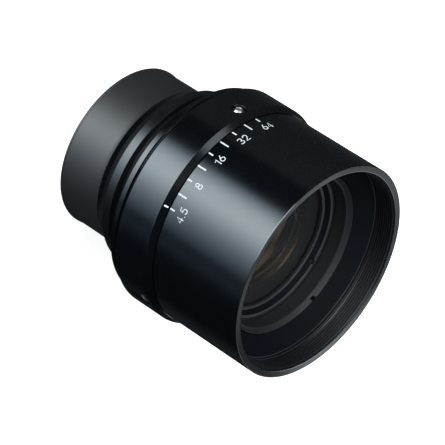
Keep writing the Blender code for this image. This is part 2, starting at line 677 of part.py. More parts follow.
def build_iris():
    """Base plate with pivot holes, eight blades, the cam ring with its slots, and a cover."""
    turned("iris_base_plate", [
        (IRIS_PLATE_RADIUS, BASE_PLATE_END), (IRIS_PLATE_RADIUS, BASE_PLATE_START),
        (BASE_PLATE_OPENING, BASE_PLATE_START), (BASE_PLATE_OPENING, BASE_PLATE_END),
    ], CELL_STEPS, satin_black)
    turned("iris_cam_ring", [
        (IRIS_PLATE_RADIUS, CAM_RING_END), (IRIS_PLATE_RADIUS, CAM_RING_START),
        (CAM_RING_OPENING, CAM_RING_START), (CAM_RING_OPENING, CAM_RING_END),
    ], CELL_STEPS, brass)
    turned("iris_cover_ring", [
        (IRIS_PLATE_RADIUS, COVER_RING_END), (IRIS_PLATE_RADIUS, COVER_RING_START),
        (COVER_RING_OPENING, COVER_RING_START), (COVER_RING_OPENING, COVER_RING_END),
    ], CELL_STEPS, satin_black)
    base_plate = bpy.data.objects["iris_base_plate"]
    cam_ring = bpy.data.objects["iris_cam_ring"]
    for number in range(BLADE_COUNT):
        azimuth = FIRST_PIVOT_AZIMUTH + 360 * number / BLADE_COUNT
        turn = (0.0, 0.0, math.radians(azimuth))
        level = BLADE_FIRST + number * BLADE_PITCH
        pivot = (PIVOT_CIRCLE_RADIUS, 0.0)
        hole = cylinder(
            f"pivot_hole_{number + 1}", PIVOT_STUD_RADIUS + PIN_GAP, BASE_PLATE_START - CUT_MARGIN,
            BASE_PLATE_END + CUT_MARGIN, STUD_SIDES, cutters, centre=pivot,
        )
        hole.rotation_euler = turn
        combine(base_plate, hole)
        slot = plate(
            f"cam_slot_{number + 1}", slot_outline(), CAM_RING_START - CUT_MARGIN,
            CAM_RING_THICKNESS + 2 * CUT_MARGIN, cutters,
        )
        slot.rotation_euler = turn
        combine(cam_ring, slot)
        blade = plate(
            f"iris_blade_{number + 1}", blade_outline(), level, BLADE_THICKNESS, lens, blade_steel
        )
        pivot_stud = cylinder(
            f"pivot_stud_{number + 1}", PIVOT_STUD_RADIUS, BASE_PLATE_START,
            level + BLADE_THICKNESS / 2, STUD_SIDES, cutters, centre=pivot,
        )
        actuator_stud = cylinder(
            f"actuator_stud_{number + 1}", ACTUATOR_STUD_RADIUS, level + BLADE_THICKNESS / 2,
            CAM_RING_END - GAP, STUD_SIDES, cutters, centre=actuator_point(0.0),
        )
        combine(blade, pivot_stud, "UNION")
        combine(blade, actuator_stud, "UNION")
        for piece in (blade, pivot_stud, actuator_stud):
            piece.rotation_euler = turn
    pin_height = (CAM_RING_START + CAM_RING_END) / 2
    pin_hole = radial_rod(
        "drive_pin_hole", DRIVE_PIN_RADIUS + PIN_GAP / 2, IRIS_PLATE_RADIUS - DRIVE_PIN_DEPTH - PIN_GAP,
        IRIS_PLATE_RADIUS + CUT_MARGIN, pin_height, DRIVE_PIN_AZIMUTH, PIN_SIDES, cutters,
    )
    combine(cam_ring, pin_hole)
    radial_rod(
        "drive_pin", DRIVE_PIN_RADIUS, IRIS_PLATE_RADIUS - DRIVE_PIN_DEPTH, DRIVE_PIN_REACH,
        pin_height, DRIVE_PIN_AZIMUTH, PIN_SIDES, lens, bright_steel,
    )


def seat_blades_on_pivots():
    """Moves each blade's origin onto its pivot, so that it turns about its own stud."""
    for number in range(BLADE_COUNT):
        azimuth = FIRST_PIVOT_AZIMUTH + 360 * number / BLADE_COUNT
        blade = bpy.data.objects[f"iris_blade_{number + 1}"]
        x, y = polar(PIVOT_CIRCLE_RADIUS, azimuth)
        for vertex in blade.data.vertices:
            vertex.co.x -= PIVOT_CIRCLE_RADIUS * MM
        blade.location = (x * MM, y * MM, 0.0)


for leftover in list(bpy.data.objects):
    bpy.data.objects.remove(leftover, do_unlink=True)

lens = collection("machine_vision_lens")
cutters = collection("cutters", hidden=True)

gloss_black = material("gloss_black_anodised", (0.012, 0.013, 0.015), 0.22, 0.6)
satin_black = material("satin_black_anodised", (0.02, 0.021, 0.023), 0.42, 0.5)
matte_black = material("matte_black_anodised", (0.008, 0.008, 0.009), 0.7, 0.2)
bright_steel = material("bright_steel", (0.75, 0.75, 0.76), 0.15, 1.0)
blade_steel = material("blued_spring_steel", (0.03, 0.032, 0.04), 0.35, 0.8)
brass = material("brass", (0.72, 0.52, 0.22), 0.3, 1.0)
coated_glass = material("coated_glass", (0.95, 0.93, 0.9), 0.02, 0.0, 1.0)

build_rear_mount_tube()
build_shoulder_ring()
build_index_ring()
build_set_screws()
build_inner_barrel()
build_rear_cell()
build_front_cell()
build_barrel_retaining_ring()
build_aperture_ring()
build_iris()
seat_blades_on_pivots()
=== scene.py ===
import math

import bmesh
import bpy
from mathutils import Matrix, Vector


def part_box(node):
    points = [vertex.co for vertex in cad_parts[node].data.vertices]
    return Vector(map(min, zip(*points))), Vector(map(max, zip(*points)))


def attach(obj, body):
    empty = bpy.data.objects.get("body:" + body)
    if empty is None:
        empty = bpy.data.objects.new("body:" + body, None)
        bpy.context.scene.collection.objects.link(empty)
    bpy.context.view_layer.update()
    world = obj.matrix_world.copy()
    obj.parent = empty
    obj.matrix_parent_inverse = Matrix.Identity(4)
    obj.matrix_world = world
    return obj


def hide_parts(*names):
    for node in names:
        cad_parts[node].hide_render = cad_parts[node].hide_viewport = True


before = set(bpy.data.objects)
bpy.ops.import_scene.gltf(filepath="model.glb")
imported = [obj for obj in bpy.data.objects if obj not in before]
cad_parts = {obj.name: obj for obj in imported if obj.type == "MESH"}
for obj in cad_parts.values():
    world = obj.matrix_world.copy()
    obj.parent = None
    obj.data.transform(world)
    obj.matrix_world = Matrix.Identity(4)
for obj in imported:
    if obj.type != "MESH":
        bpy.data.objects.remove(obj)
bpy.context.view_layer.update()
MM = 0.001

# The view. The lens stands on its rear face, and the camera is tipped far over, because the
# photograph shows the lens lying aslant. Place and roll come from matching the turned rings.
CAMERA_PLACE = Vector((-147.09, -655.56, 455.93)) * MM
CAMERA_HEADING = Vector((0.18947, 0.82861, -0.52676))
CAMERA_ROLL = 122.9
CAMERA_LENS = 242.56
SENSOR_WIDTH = 36.0


def added(name, data):
    """A new object in the scene."""
    made = bpy.data.objects.new(name, data)
    bpy.context.scene.collection.objects.link(made)
    return made


camera = added("camera", bpy.data.cameras.new("camera"))
camera.data.lens = CAMERA_LENS
camera.data.sensor_width = SENSOR_WIDTH
camera.data.clip_start = 10 * MM
aim = CAMERA_HEADING.to_track_quat("-Z", "Y").to_matrix().to_4x4()
camera.matrix_world = (
    Matrix.Translation(CAMERA_PLACE) @ aim @ Matrix.Rotation(math.radians(CAMERA_ROLL), 4, "Z")
)
bpy.context.scene.camera = camera


# The rear mount tube. One turned aluminium part with a fine satin black anodised skin. Its rear
# mouth has a 42 mm thread for the camera mount, and its flange closes the back of the barrel.
MOUNT_EDGE = 0.25
MOUNT_LIP_LENGTH = 0.55
MOUNT_LIP_HEIGHT = 0.25
MOUNT_TUBE_RADIUS = 23.3
MOUNT_COVE_START = 12.6
COVE_POLISH_START = 14.0
MOUNT_FLANGE_START = 18.8
MOUNT_FLANGE_END = 21.45
MOUNT_SPIGOT_RADIUS = 24.3
MOUNT_MOUTH_LENGTH = 7.0
MOUNT_MOUTH_RADIUS = 21.1
MOUNT_BORE_RADIUS = 19.6
MOUNT_THREAD_PITCH = 1.0
MOUNT_THREAD_DEPTH = 0.55
MOUNT_THREAD_START = 1.0
MOUNT_THREAD_END = 6.2
THREAD_HALF_BASE = 0.44
THREAD_HALF_CREST = 0.07
THREAD_SINK = 0.05
COVE_STEPS = 12
SATIN_BLACK = (0.0068, 0.0070, 0.0086)
GLOSS_BLACK = (0.0016, 0.0023, 0.0032)
SLEEK_BLACK = (0.0040, 0.0044, 0.0050)
EDGE_RUN = 0.17
EDGE_DROP = 0.22
FINE_STEPS = 192
FLAT_BESIDE_EDGE = 0.08
SETBACK_SHARE = 0.4
FLAT_SHARE = 0.1
SHARP_ANGLE = 32.0
MARKS_LEAN = 0.83
SPECK_SCALE = 900.0
SPECK_PATCH_SCALE = 240.0
SPECK_REACH = 0.32
DUST_GREY = (0.35, 0.35, 0.36)
DYE_VARIATION = 1.35
COAT_MARGIN = 0.1


def span(node):
    """Outer radius, lowest and highest point of a turned CAD node, in millimetres."""
    low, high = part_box(node)
    return high.x / MM, low.z / MM, high.z / MM


def polar(radius, azimuth, height=0.0):
    """A point in millimetres, from its radius and its azimuth in degrees."""
    angle = math.radians(azimuth)
    return Vector((radius * math.cos(angle), radius * math.sin(angle), height))


def softened(corners):
    """A profile with its edges broken. Each corner is (radius, height, edge), and a short flat
    beside every broken edge keeps the long faces flat in the light."""
    points = []
    for index, (radius, height, edge) in enumerate(corners):
        corner = Vector((radius, height))
        if edge == 0:
            points.append(corner)
            continue
        sides = []
        for other in (corners[index - 1], corners[(index + 1) % len(corners)]):
            way = Vector(other[:2]) - corner
            sides.append((way.normalized(), way.length))
        (way_in, reach_in), (way_out, reach_out) = sides
        setback = min(edge, SETBACK_SHARE * reach_in, SETBACK_SHARE * reach_out)
        first = corner + way_in * setback
        last = corner + way_out * setback
        points.append(first + way_in * min(FLAT_BESIDE_EDGE, FLAT_SHARE * reach_in))
        for share in (0.0, 0.33, 0.67, 1.0):
            points.append(
                first * (1 - share) ** 2 + corner * 2 * share * (1 - share) + last * share**2
            )
        points.append(last + way_out * min(FLAT_BESIDE_EDGE, FLAT_SHARE * reach_out))
    return points


def finished(name, bm, surface):
    """A piece from a bmesh drawn in millimetres, smooth but for its sharp edges."""
    bmesh.ops.scale(bm, vec=(MM, MM, MM), verts=bm.verts)
    for face in bm.faces:
        face.smooth = True
    for edge in bm.edges:
        edge.smooth = edge.calc_face_angle(0.0) < math.radians(SHARP_ANGLE)
    mesh = bpy.data.meshes.new(name)
    bm.to_mesh(mesh)
    bm.free()
    mesh.materials.append(surface)
    return added(name, mesh)


def spun(profile, steps, closed=False):
    """A bmesh turned about the Z axis, from a profile of radii and heights in millimetres."""
    bm = bmesh.new()
    verts = [bm.verts.new((radius, 0.0, height)) for radius, height in profile]
    edges = [bm.edges.new(pair) for pair in zip(verts, verts[1:])]
    if closed:
        edges.append(bm.edges.new((verts[-1], verts[0])))
    bmesh.ops.spin(
        bm, geom=verts + edges, cent=(0, 0, 0), axis=(0, 0, 1), angle=math.tau, steps=steps,
        use_merge=True,
    )
    bmesh.ops.remove_doubles(bm, verts=bm.verts, dist=0.0001)
    bmesh.ops.recalc_face_normals(bm, faces=bm.faces)
    return bm


def turned(name, corners, surface, steps=FINE_STEPS, threads=()):
    """A piece turned about the optical axis, with any screw threads cut in it."""
    bm = spun(softened(corners), steps, closed=corners[0][0] > 0)
    for thread in threads:
        cut_thread(bm, **thread)
    return finished(name, bm, surface)


def cut_thread(bm, wall, depth, pitch, start, end, steps=120):
    """Adds one continuous helical ridge inside a bore, fading in and out at its ends."""
    count = round((end - start) / pitch * steps)
    run_out = steps / 3
    root = wall + THREAD_SINK
    before = None
    for step in range(count + 1):
        fade = min(1.0, step / run_out, (count - step) / run_out)
        crest = wall - depth * max(fade, 0.02)
        height = start + pitch * step / steps
        section = []
        for radius, rise in (
            (root, -THREAD_HALF_BASE), (crest, -THREAD_HALF_CREST), (crest, THREAD_HALF_CREST),
            (root, THREAD_HALF_BASE),
        ):
            place = polar(radius, 360 * step / steps, height + rise * pitch)
            section.append(bm.verts.new(place))
        if before is None:
            bm.faces.new(section)
        else:
            for side in range(4):
                other = (side + 1) % 4
                bm.faces.new((before[side], section[side], section[other], before[other]))
        before = section
    bm.faces.new(before[::-1])


def shader_group(name, inputs, outputs):
    """An empty shader node group, its input node and its output node."""
    tree = bpy.data.node_groups.new(name, "ShaderNodeTree")
    for label, value in inputs.items():
        socket = tree.interface.new_socket(label, in_out="INPUT", socket_type="NodeSocketFloat")
        socket.default_value = value
    for label, kind in outputs.items():
        tree.interface.new_socket(label, in_out="OUTPUT", socket_type=f"NodeSocket{kind}")
    return tree, tree.nodes.new("NodeGroupInput"), tree.nodes.new("NodeGroupOutput")


def fed(tree, node, values):
    """Links a node's inputs to sockets, or sets them to plain values."""
    for label, value in values.items():
        if isinstance(value, bpy.types.NodeSocket):
            tree.links.new(value, node.inputs[label])
        else:
            node.inputs[label].default_value = value
    return node


def wired(tree, kind, values=None, **settings):
    """A new node with its settings, its inputs linked to sockets or set to values."""
    node = tree.nodes.new(kind)
    for label, value in settings.items():
        setattr(node, label, value)
    return fed(tree, node, values or {})


def arithmetic(tree, operation, *values):
    """The output of a maths node."""
    return wired(tree, "ShaderNodeMath", dict(enumerate(values)), operation=operation).outputs[0]


def blend(tree, factor, first, second):
    """The output of a node that mixes two colours."""
    values = {"Factor": factor, "A": first, "B": second}
    return wired(tree, "ShaderNodeMix", values, data_type="RGBA").outputs["Result"]


def between(tree, factor, low, high):
    """A number that runs from low to high as its factor goes from 0 to 1."""
    values = {"Value": factor, "To Min": low, "To Max": high}
    return wired(tree, "ShaderNodeMapRange", values).outputs["Result"]


def relief(tree, height, depth, strength=1.0):
    """The normals of a fine relief, this many millimetres deep."""
    values = {"Height": height, "Strength": strength, "Distance": depth * MM}
    return wired(tree, "ShaderNodeBump", values).outputs["Normal"]


def build_turning_marks():
    """Height of the fine rings that a lathe tool leaves, on walls and on flat faces alike."""
    tree, given, result = shader_group(
        "turning marks", {"Rings per mm": 4.0, "Softness": 3.0}, {"Height": "Float"}
    )
    place = wired(tree, "ShaderNodeTexCoord").outputs["Object"]
    x, y, z = wired(tree, "ShaderNodeSeparateXYZ", {0: place}).outputs
    square = arithmetic(tree, "MULTIPLY_ADD", y, y, arithmetic(tree, "MULTIPLY", x, x))
    along = arithmetic(tree, "MULTIPLY_ADD", arithmetic(tree, "SQRT", square), MARKS_LEAN, z)
    pace = arithmetic(tree, "MULTIPLY", given.outputs["Rings per mm"], 1 / MM)
    values = {
        "W": arithmetic(tree, "MULTIPLY", along, pace), "Scale": 1.0,
        "Detail": given.outputs["Softness"], "Roughness": 0.6,
    }
    marks = wired(tree, "ShaderNodeTexNoise", values, noise_dimensions="1D")
    fed(tree, result, {"Height": marks.outputs["Fac"]})
    return tree


def build_handling_marks():
    """Faint smudges and dust specks that change the shine of a handled surface."""
    tree, given, result = shader_group(
        "handling marks", {"Smudge size": 9.0, "Speck density": 0.5},
        {"Smudges": "Float", "Specks": "Float"},
    )
    place = wired(tree, "ShaderNodeTexCoord").outputs["Object"]
    smudges = wired(tree, "ShaderNodeTexNoise", {
        "Vector": place, "Scale": arithmetic(tree, "DIVIDE", 1 / MM, given.outputs["Smudge size"]),
        "Detail": 4.0, "Roughness": 0.55, "Distortion": 0.6,
    })
    dust = wired(tree, "ShaderNodeTexVoronoi", {
        "Vector": place, "Scale": SPECK_SCALE, "Randomness": 1.0,
    })
    sparse = wired(tree, "ShaderNodeTexNoise", {
        "Vector": place, "Scale": SPECK_PATCH_SCALE, "Detail": 1.0,
    })
    density = arithmetic(tree, "MULTIPLY", sparse.outputs["Fac"], given.outputs["Speck density"])
    limit = arithmetic(tree, "MULTIPLY", density, SPECK_REACH)
    specks = arithmetic(tree, "LESS_THAN", dust.outputs["Distance"], limit)
    fed(tree, result, {"Smudges": smudges.outputs["Fac"], "Specks": specks})
    return tree


turning_marks = build_turning_marks()
handling_marks = build_handling_marks()


def blank_material(name):
    """A new material, its node tree and its shader."""
    made = bpy.data.materials.new(name)
    made.use_nodes = True
    return made, made.node_tree, made.node_tree.nodes["Principled BSDF"]


def anodised(
    name, colour, roughness, shine, rings=3.0, groove=0.02, smudge=0.04, dust=0.001, index=1.5,
    tint=(1.0, 1.0, 1.0),
):
    """Anodised aluminium: dyed skin over turned metal, with its tool rings, smudges and dust."""
    made, tree, shader = blank_material(name)
    marks = wired(tree, "ShaderNodeGroup", {"Rings per mm": rings}, node_tree=turning_marks)
    use = wired(tree, "ShaderNodeGroup", node_tree=handling_marks)
    paler = [level * DYE_VARIATION for level in colour]
    dyed = blend(tree, use.outputs["Smudges"], (*colour, 1), (*paler, 1))
    dusty = arithmetic(tree, "MULTIPLY", use.outputs["Specks"], dust)
    worn = between(tree, use.outputs["Smudges"], roughness - smudge / 2, roughness + smudge)
    height = marks.outputs["Height"]
    fed(tree, shader, {
        "Base Color": blend(tree, dusty, dyed, (*DUST_GREY, 1)),
        "Roughness": arithmetic(tree, "MULTIPLY_ADD", height, smudge, worn),
        "Normal": relief(tree, height, groove), "Specular IOR Level": shine, "IOR": index,
        "Specular Tint": (*tint, 1.0),
    })
    return made


def coat(piece, surface, inner, outer, base, top):
    """Gives the faces between two radii and two heights, in millimetres, another finish."""
    piece.data.materials.append(surface)
    last = len(piece.data.materials) - 1
    for face in piece.data.polygons:
        reach = face.center.to_2d().length / MM
        if inner <= reach <= outer and base <= face.center.z / MM <= top:
            face.material_index = last


satin_black = anodised(
    "satin black anodising", SATIN_BLACK, 0.48, 0.74, rings=6.0, groove=0.003, index=1.8,
    tint=(1.0, 0.93, 0.91),
)
gloss_black = anodised("gloss black anodising", GLOSS_BLACK, 0.115, 1.0, rings=2.0, groove=0.0006)
sleek_black = anodised("sleek black anodising", SLEEK_BLACK, 0.26, 1.0, rings=3.0, groove=0.001)
flange_radius, rear_face, spigot_end = span("rear_mount_tube")
cove = []
for step in range(COVE_STEPS, 0, -1):
    rise = (flange_radius - MOUNT_TUBE_RADIUS) * (1 - math.cos(math.radians(90 * step / COVE_STEPS)))
    height = MOUNT_COVE_START + (MOUNT_FLANGE_START - MOUNT_COVE_START) * step / COVE_STEPS
    cove.append((MOUNT_TUBE_RADIUS + rise, height, 0))
lip_radius = MOUNT_TUBE_RADIUS + MOUNT_LIP_HEIGHT
mount_tube = turned("mount_tube", [
    (MOUNT_SPIGOT_RADIUS, spigot_end, 0.3),
    (MOUNT_SPIGOT_RADIUS, MOUNT_FLANGE_END, 0),
    (flange_radius - EDGE_DROP, MOUNT_FLANGE_END, 0.02),
    (flange_radius, MOUNT_FLANGE_END - EDGE_RUN, 0.02),
    *cove,
    (MOUNT_TUBE_RADIUS, MOUNT_COVE_START, 0),
    (MOUNT_TUBE_RADIUS, MOUNT_LIP_LENGTH, 0.06),
    (lip_radius, MOUNT_LIP_LENGTH, 0.08),
    (lip_radius, rear_face, MOUNT_EDGE),
    (MOUNT_MOUTH_RADIUS, rear_face, 0.35),
    (MOUNT_MOUTH_RADIUS, MOUNT_MOUTH_LENGTH, 0),
    (MOUNT_BORE_RADIUS, MOUNT_MOUTH_LENGTH, 0.1),
    (MOUNT_BORE_RADIUS, spigot_end, 0.1),
], satin_black, threads=[{
    "wall": MOUNT_MOUTH_RADIUS, "depth": MOUNT_THREAD_DEPTH, "pitch": MOUNT_THREAD_PITCH,
    "start": MOUNT_THREAD_START, "end": MOUNT_THREAD_END,
}])
coat(
    mount_tube, gloss_black, MOUNT_TUBE_RADIUS - COAT_MARGIN, flange_radius,
    COVE_POLISH_START, MOUNT_FLANGE_START,
)
coat(mount_tube, sleek_black, MOUNT_SPIGOT_RADIUS, flange_radius, MOUNT_FLANGE_START, MOUNT_FLANGE_END)
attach(mount_tube, "lens_body")
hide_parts("rear_mount_tube")


# The shoulder ring. A turned cone and band clamped between the flange and the barrel, with the
# same polished black anodising as the front. The cone faces the camera mount.
SHOULDER_EDGE = 0.12
SHOULDER_BREAK = 1.2
SHOULDER_REAR_RADIUS = 26.6
SHOULDER_BAND_START = 27.0
SHOULDER_BORE_RADIUS = 24.6
shoulder_radius, shoulder_start, shoulder_end = span("shoulder_ring")
shoulder = turned("shoulder_cone_ring", [
    (shoulder_radius - SHOULDER_BREAK * EDGE_DROP, shoulder_end, 0.02),
    (shoulder_radius, shoulder_end - SHOULDER_BREAK * EDGE_RUN, 0.02),
    (shoulder_radius, SHOULDER_BAND_START, SHOULDER_EDGE),
    (SHOULDER_REAR_RADIUS, shoulder_start, SHOULDER_EDGE),
    (SHOULDER_BORE_RADIUS, shoulder_start, 0),
    (SHOULDER_BORE_RADIUS, shoulder_end, 0),
], gloss_black)
cone_black = anodised("cone black anodising", GLOSS_BLACK, 0.16, 0.16, rings=2.0, groove=0.0006)
coat(shoulder, cone_black, SHOULDER_REAR_RADIUS, shoulder_radius, shoulder_start, SHOULDER_BAND_START)
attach(shoulder, "lens_body")
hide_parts("shoulder_ring")


# The index ring. The widest ring of the lens, fixed by three set screws. Its front bevel faces
# the scale and carries one engraved mark, filled with white paint.
INDEX_EDGE = 0.3
INDEX_REAR_CHAMFER = 1.35
INDEX_BEVEL_LENGTH = 1.7
INDEX_BEVEL_DEPTH = 1.15
INDEX_BORE_RADIUS = 28.7
SCREW_HEIGHT = 38.2
SCREW_AZIMUTH = -151.5
SCREW_COUNT = 3
SCREW_HOLE_RADIUS = 1.92
SCREW_COUNTERSINK = 2.1
MARK_AZIMUTH = -90.0
MARK_WIDTH = 0.42
MARK_START_SHARE = 0.3
MARK_END_SHARE = 0.88
PAINT_PROUD = 0.02
PAINT_WHITE = (0.84, 0.85, 0.86)
THIN_PAINT = (0.74, 0.75, 0.76)
PAINT_DEPTH = 0.2
PAINT_GRAIN = 0.01
PAINT_PATCH_SCALE = 1800.0
CUT_OVERRUN = 1.0


def settle(piece):
    """Leaves a piece the plain mesh that its modifiers make."""
    graph = bpy.context.evaluated_depsgraph_get()
    piece.data = bpy.data.meshes.new_from_object(piece.evaluated_get(graph))
    piece.modifiers.clear()


def cut(piece, tools):
    """Cuts tools out of a finished piece and leaves it a plain mesh."""
    for tool in tools:
        change = piece.modifiers.new(tool.name, "BOOLEAN")
        change.operation = "DIFFERENCE"
        change.solver = "EXACT"
        change.object = tool
    settle(piece)
    for tool in tools:
        bpy.data.objects.remove(tool)


def radial_tool(name, profile, height, azimuth, surface, sides=40):
    """A turned cutter laid along a radius of the lens. Its profile is (radius, distance out)."""
    bm = spun(profile, sides)
    lay = Matrix.Rotation(math.radians(azimuth), 4, "Z") @ Matrix.Rotation(math.radians(90), 4, "Y")
    bm.transform(Matrix.Translation((0, 0, height)) @ lay)
    return finished(name, bm, surface)


def painted(name):
    """White filling paint: matt, a little uneven, with a trace of grey where it is thin."""
    made, tree, shader = blank_material(name)
    place = wired(tree, "ShaderNodeTexCoord").outputs["Object"]
    noise = {"Vector": place, "Scale": PAINT_PATCH_SCALE, "Detail": 3.0}
    patches = wired(tree, "ShaderNodeTexNoise", noise).outputs["Fac"]
    fed(tree, shader, {
        "Base Color": blend(tree, patches, (*PAINT_WHITE, 1), (*THIN_PAINT, 1)), "Roughness": 0.5,
        "Normal": relief(tree, patches, PAINT_GRAIN, strength=0.3),
    })
    return made


index_radius, index_start, index_end = span("index_ring")
index_ring = turned("index_band", [
    (index_radius - INDEX_BEVEL_DEPTH, index_end, 0),
    (index_radius, index_end - INDEX_BEVEL_LENGTH, INDEX_EDGE),
    (index_radius, index_start + INDEX_REAR_CHAMFER, INDEX_EDGE),
    (index_radius - INDEX_REAR_CHAMFER, index_start, 0.15),
    (INDEX_BORE_RADIUS, index_start, 0),
    (INDEX_BORE_RADIUS, index_end, 0),
], gloss_black)
coat(
    index_ring, cone_black, INDEX_BORE_RADIUS, index_radius + COAT_MARGIN,
    index_start - COAT_MARGIN, index_start + INDEX_REAR_CHAMFER,
)
hole_top = index_radius + CUT_OVERRUN
hole_bottom = INDEX_BORE_RADIUS - CUT_OVERRUN
hole_profile = [
    (0.0, hole_top), (SCREW_COUNTERSINK + CUT_OVERRUN, hole_top),
    (SCREW_HOLE_RADIUS, index_radius - (SCREW_COUNTERSINK - SCREW_HOLE_RADIUS)),
    (SCREW_HOLE_RADIUS, hole_bottom), (0.0, hole_bottom),
]
cut(index_ring, [
    radial_tool(
        f"screw_hole_{number}", hole_profile, SCREW_HEIGHT,
        SCREW_AZIMUTH + 360 * number / SCREW_COUNT, gloss_black,
    )
    for number in range(SCREW_COUNT)
])
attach(index_ring, "lens_body")
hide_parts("index_ring")

white_paint = painted("white filling paint")
bm = bmesh.new()
mark_ends = []
for share in (MARK_START_SHARE, MARK_END_SHARE):
    radius = index_radius - INDEX_BEVEL_DEPTH * share
    mark_ends.append((radius, index_end - INDEX_BEVEL_LENGTH * (1 - share)))
mark_corners = []
for sink in (PAINT_PROUD, -PAINT_DEPTH):
    for radius, height in mark_ends:
        for side in (-0.5, 0.5):
            place = polar(radius + sink, MARK_AZIMUTH, height + sink)
            place.x += side * MARK_WIDTH
            mark_corners.append(bm.verts.new(place))
bmesh.ops.convex_hull(bm, input=mark_corners)
bmesh.ops.recalc_face_normals(bm, faces=bm.faces)
index_mark = finished("index_mark", bm, white_paint)
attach(index_mark, "lens_body")


# The set screws. Three bright steel grub screws with a hexagon socket, sunk a little below the
# index ring and tightened on the barrel's seat. Their mouths catch the light.
SCREW_RADIUS = 1.84
SCREW_SINK = 0.15
SCREW_CHAMFER = 0.85
SCREW_TIP = 28.7
SCREW_TIP_CHAMFER = 0.35
SOCKET_RADIUS = 0.78
SOCKET_DEPTH = 1.3
SOCKET_CHAMFER = 0.1
BRIGHT_STEEL = (0.78, 0.77, 0.75)
TARNISH = 0.7
TARNISH_SIZE = 2.0


def geometry_group(name, inputs):
    """An empty geometry node tree, its input node and its output node."""
    tree = bpy.data.node_groups.new(name, "GeometryNodeTree")
    for label, (kind, value) in inputs.items():
        socket = tree.interface.new_socket(label, in_out="INPUT", socket_type=f"NodeSocket{kind}")
        if value is not None:
            socket.default_value = value
    tree.interface.new_socket("Geometry", in_out="OUTPUT", socket_type="NodeSocketGeometry")
    return tree, tree.nodes.new("NodeGroupInput"), tree.nodes.new("NodeGroupOutput")


def grown(name, tree, values, surface):
    """The plain mesh that a geometry node tree makes with these input values."""
    piece = added(name, bpy.data.meshes.new(name))
    maker = piece.modifiers.new("maker", "NODES")
    maker.node_group = tree
    for item in tree.interface.items_tree:
        if item.in_out == "INPUT" and item.name in values:
            maker[item.identifier] = values[item.name]
    settle(piece)
    if not piece.data.materials:
        piece.data.materials.append(surface)
    return piece


def vector(tree, x=0.0, y=0.0, z=0.0):
    """The output of a node that joins three numbers."""
    return wired(tree, "ShaderNodeCombineXYZ", {"X": x, "Y": y, "Z": z}).outputs[0]


def round_the_axis(tree, given, result, points, shape, step, **spread):
    """Ends a tree: a copy of a shape at each point, each a step further round the axis."""
    index = wired(tree, "GeometryNodeInputIndex").outputs[0]
    turn = arithmetic(tree, "MULTIPLY_ADD", index, step, given.outputs["First azimuth"])
    copies = wired(tree, "GeometryNodeInstanceOnPoints", {
        "Points": points, "Instance": shape, "Rotation": vector(tree, z=turn), **spread,
    })
    whole = wired(tree, "GeometryNodeRealizeInstances", {"Geometry": copies.outputs[0]})
    dressed = wired(tree, "GeometryNodeSetMaterial", {
        "Geometry": whole.outputs[0], "Material": given.outputs["Material"],
    })
    fed(tree, result, {"Geometry": dressed.outputs[0]})
    return tree


def build_ring_of_copies():
    """Copies of one object, spaced evenly round the optical axis, as one mesh."""
    tree, given, result = geometry_group("ring of copies", {
        "Copy": ("Object", None), "Count": ("Int", 3), "First azimuth": ("Float", 0.0),
        "Material": ("Material", None),
    })
    source = wired(tree, "GeometryNodeObjectInfo", {"Object": given.outputs["Copy"]})
    points = wired(
        tree, "GeometryNodeMeshLine", {"Count": given.outputs["Count"], "Offset": (0, 0, 0)}
    )
    step = arithmetic(tree, "DIVIDE", math.tau, given.outputs["Count"])
    return round_the_axis(
        tree, given, result, points.outputs["Mesh"], source.outputs["Geometry"], step
    )


def machined_metal(name, colour, roughness, rings=5.0, groove=0.003):
    """Bare machined metal with its tool rings and a slight tarnish."""
    made, tree, shader = blank_material(name)
    marks = wired(tree, "ShaderNodeGroup", {"Rings per mm": rings}, node_tree=turning_marks)
    use = wired(tree, "ShaderNodeGroup", {"Smudge size": TARNISH_SIZE}, node_tree=handling_marks)
    darker = [level * TARNISH for level in colour]
    smudges = use.outputs["Smudges"]
    fed(tree, shader, {
        "Base Color": blend(tree, smudges, (*colour, 1), (*darker, 1)),
        "Roughness": between(tree, smudges, roughness - 0.05, roughness + 0.1),
        "Normal": relief(tree, marks.outputs["Height"], groove), "Metallic": 1.0,
    })
    return made


ring_of_copies = build_ring_of_copies()
bright_steel = machined_metal("bright steel", BRIGHT_STEEL, 0.28)
screw_head = index_radius - SCREW_SINK
pattern_screw = radial_tool("pattern_screw", [
    (0.0, SCREW_TIP), (SCREW_RADIUS - SCREW_TIP_CHAMFER, SCREW_TIP),
    (SCREW_RADIUS, SCREW_TIP + SCREW_TIP_CHAMFER),
    (SCREW_RADIUS, screw_head - SCREW_CHAMFER), (SCREW_RADIUS - SCREW_CHAMFER, screw_head),
    (0.0, screw_head),
], SCREW_HEIGHT, 0.0, bright_steel)
cut(pattern_screw, [
    radial_tool("hexagon_socket", [
        (0.0, screw_head - SOCKET_DEPTH), (SOCKET_RADIUS, screw_head - SOCKET_DEPTH),
        (SOCKET_RADIUS, screw_head - SOCKET_CHAMFER),
        (SOCKET_RADIUS + 2 * SOCKET_CHAMFER, screw_head + SOCKET_CHAMFER),
        (0.0, screw_head + SOCKET_CHAMFER),
    ], SCREW_HEIGHT, 0.0, bright_steel, sides=6)
])
set_screws = grown("set_screws", ring_of_copies, {
    "Copy": pattern_screw, "Count": SCREW_COUNT, "First azimuth": math.radians(SCREW_AZIMUTH),
    "Material": bright_steel,
}, bright_steel)
bpy.data.objects.remove(pattern_screw)
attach(set_screws, "lens_body")
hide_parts("set_screw_1", "set_screw_2", "set_screw_3")


# The inner barrel. The hidden body that carries everything: seat, running surface, chamber and
# web. It stays the CAD solid and shows only as a dark line between the index and aperture rings.
barrel_black = anodised("barrel black anodising", SATIN_BLACK, 0.4, 0.5, rings=5.0, groove=0.004)


def dress(node, surface):
    """Gives a CAD node its finish. Its shape and place stay as they are."""
    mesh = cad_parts[node].data
    mesh.materials.clear()
    mesh.materials.append(surface)


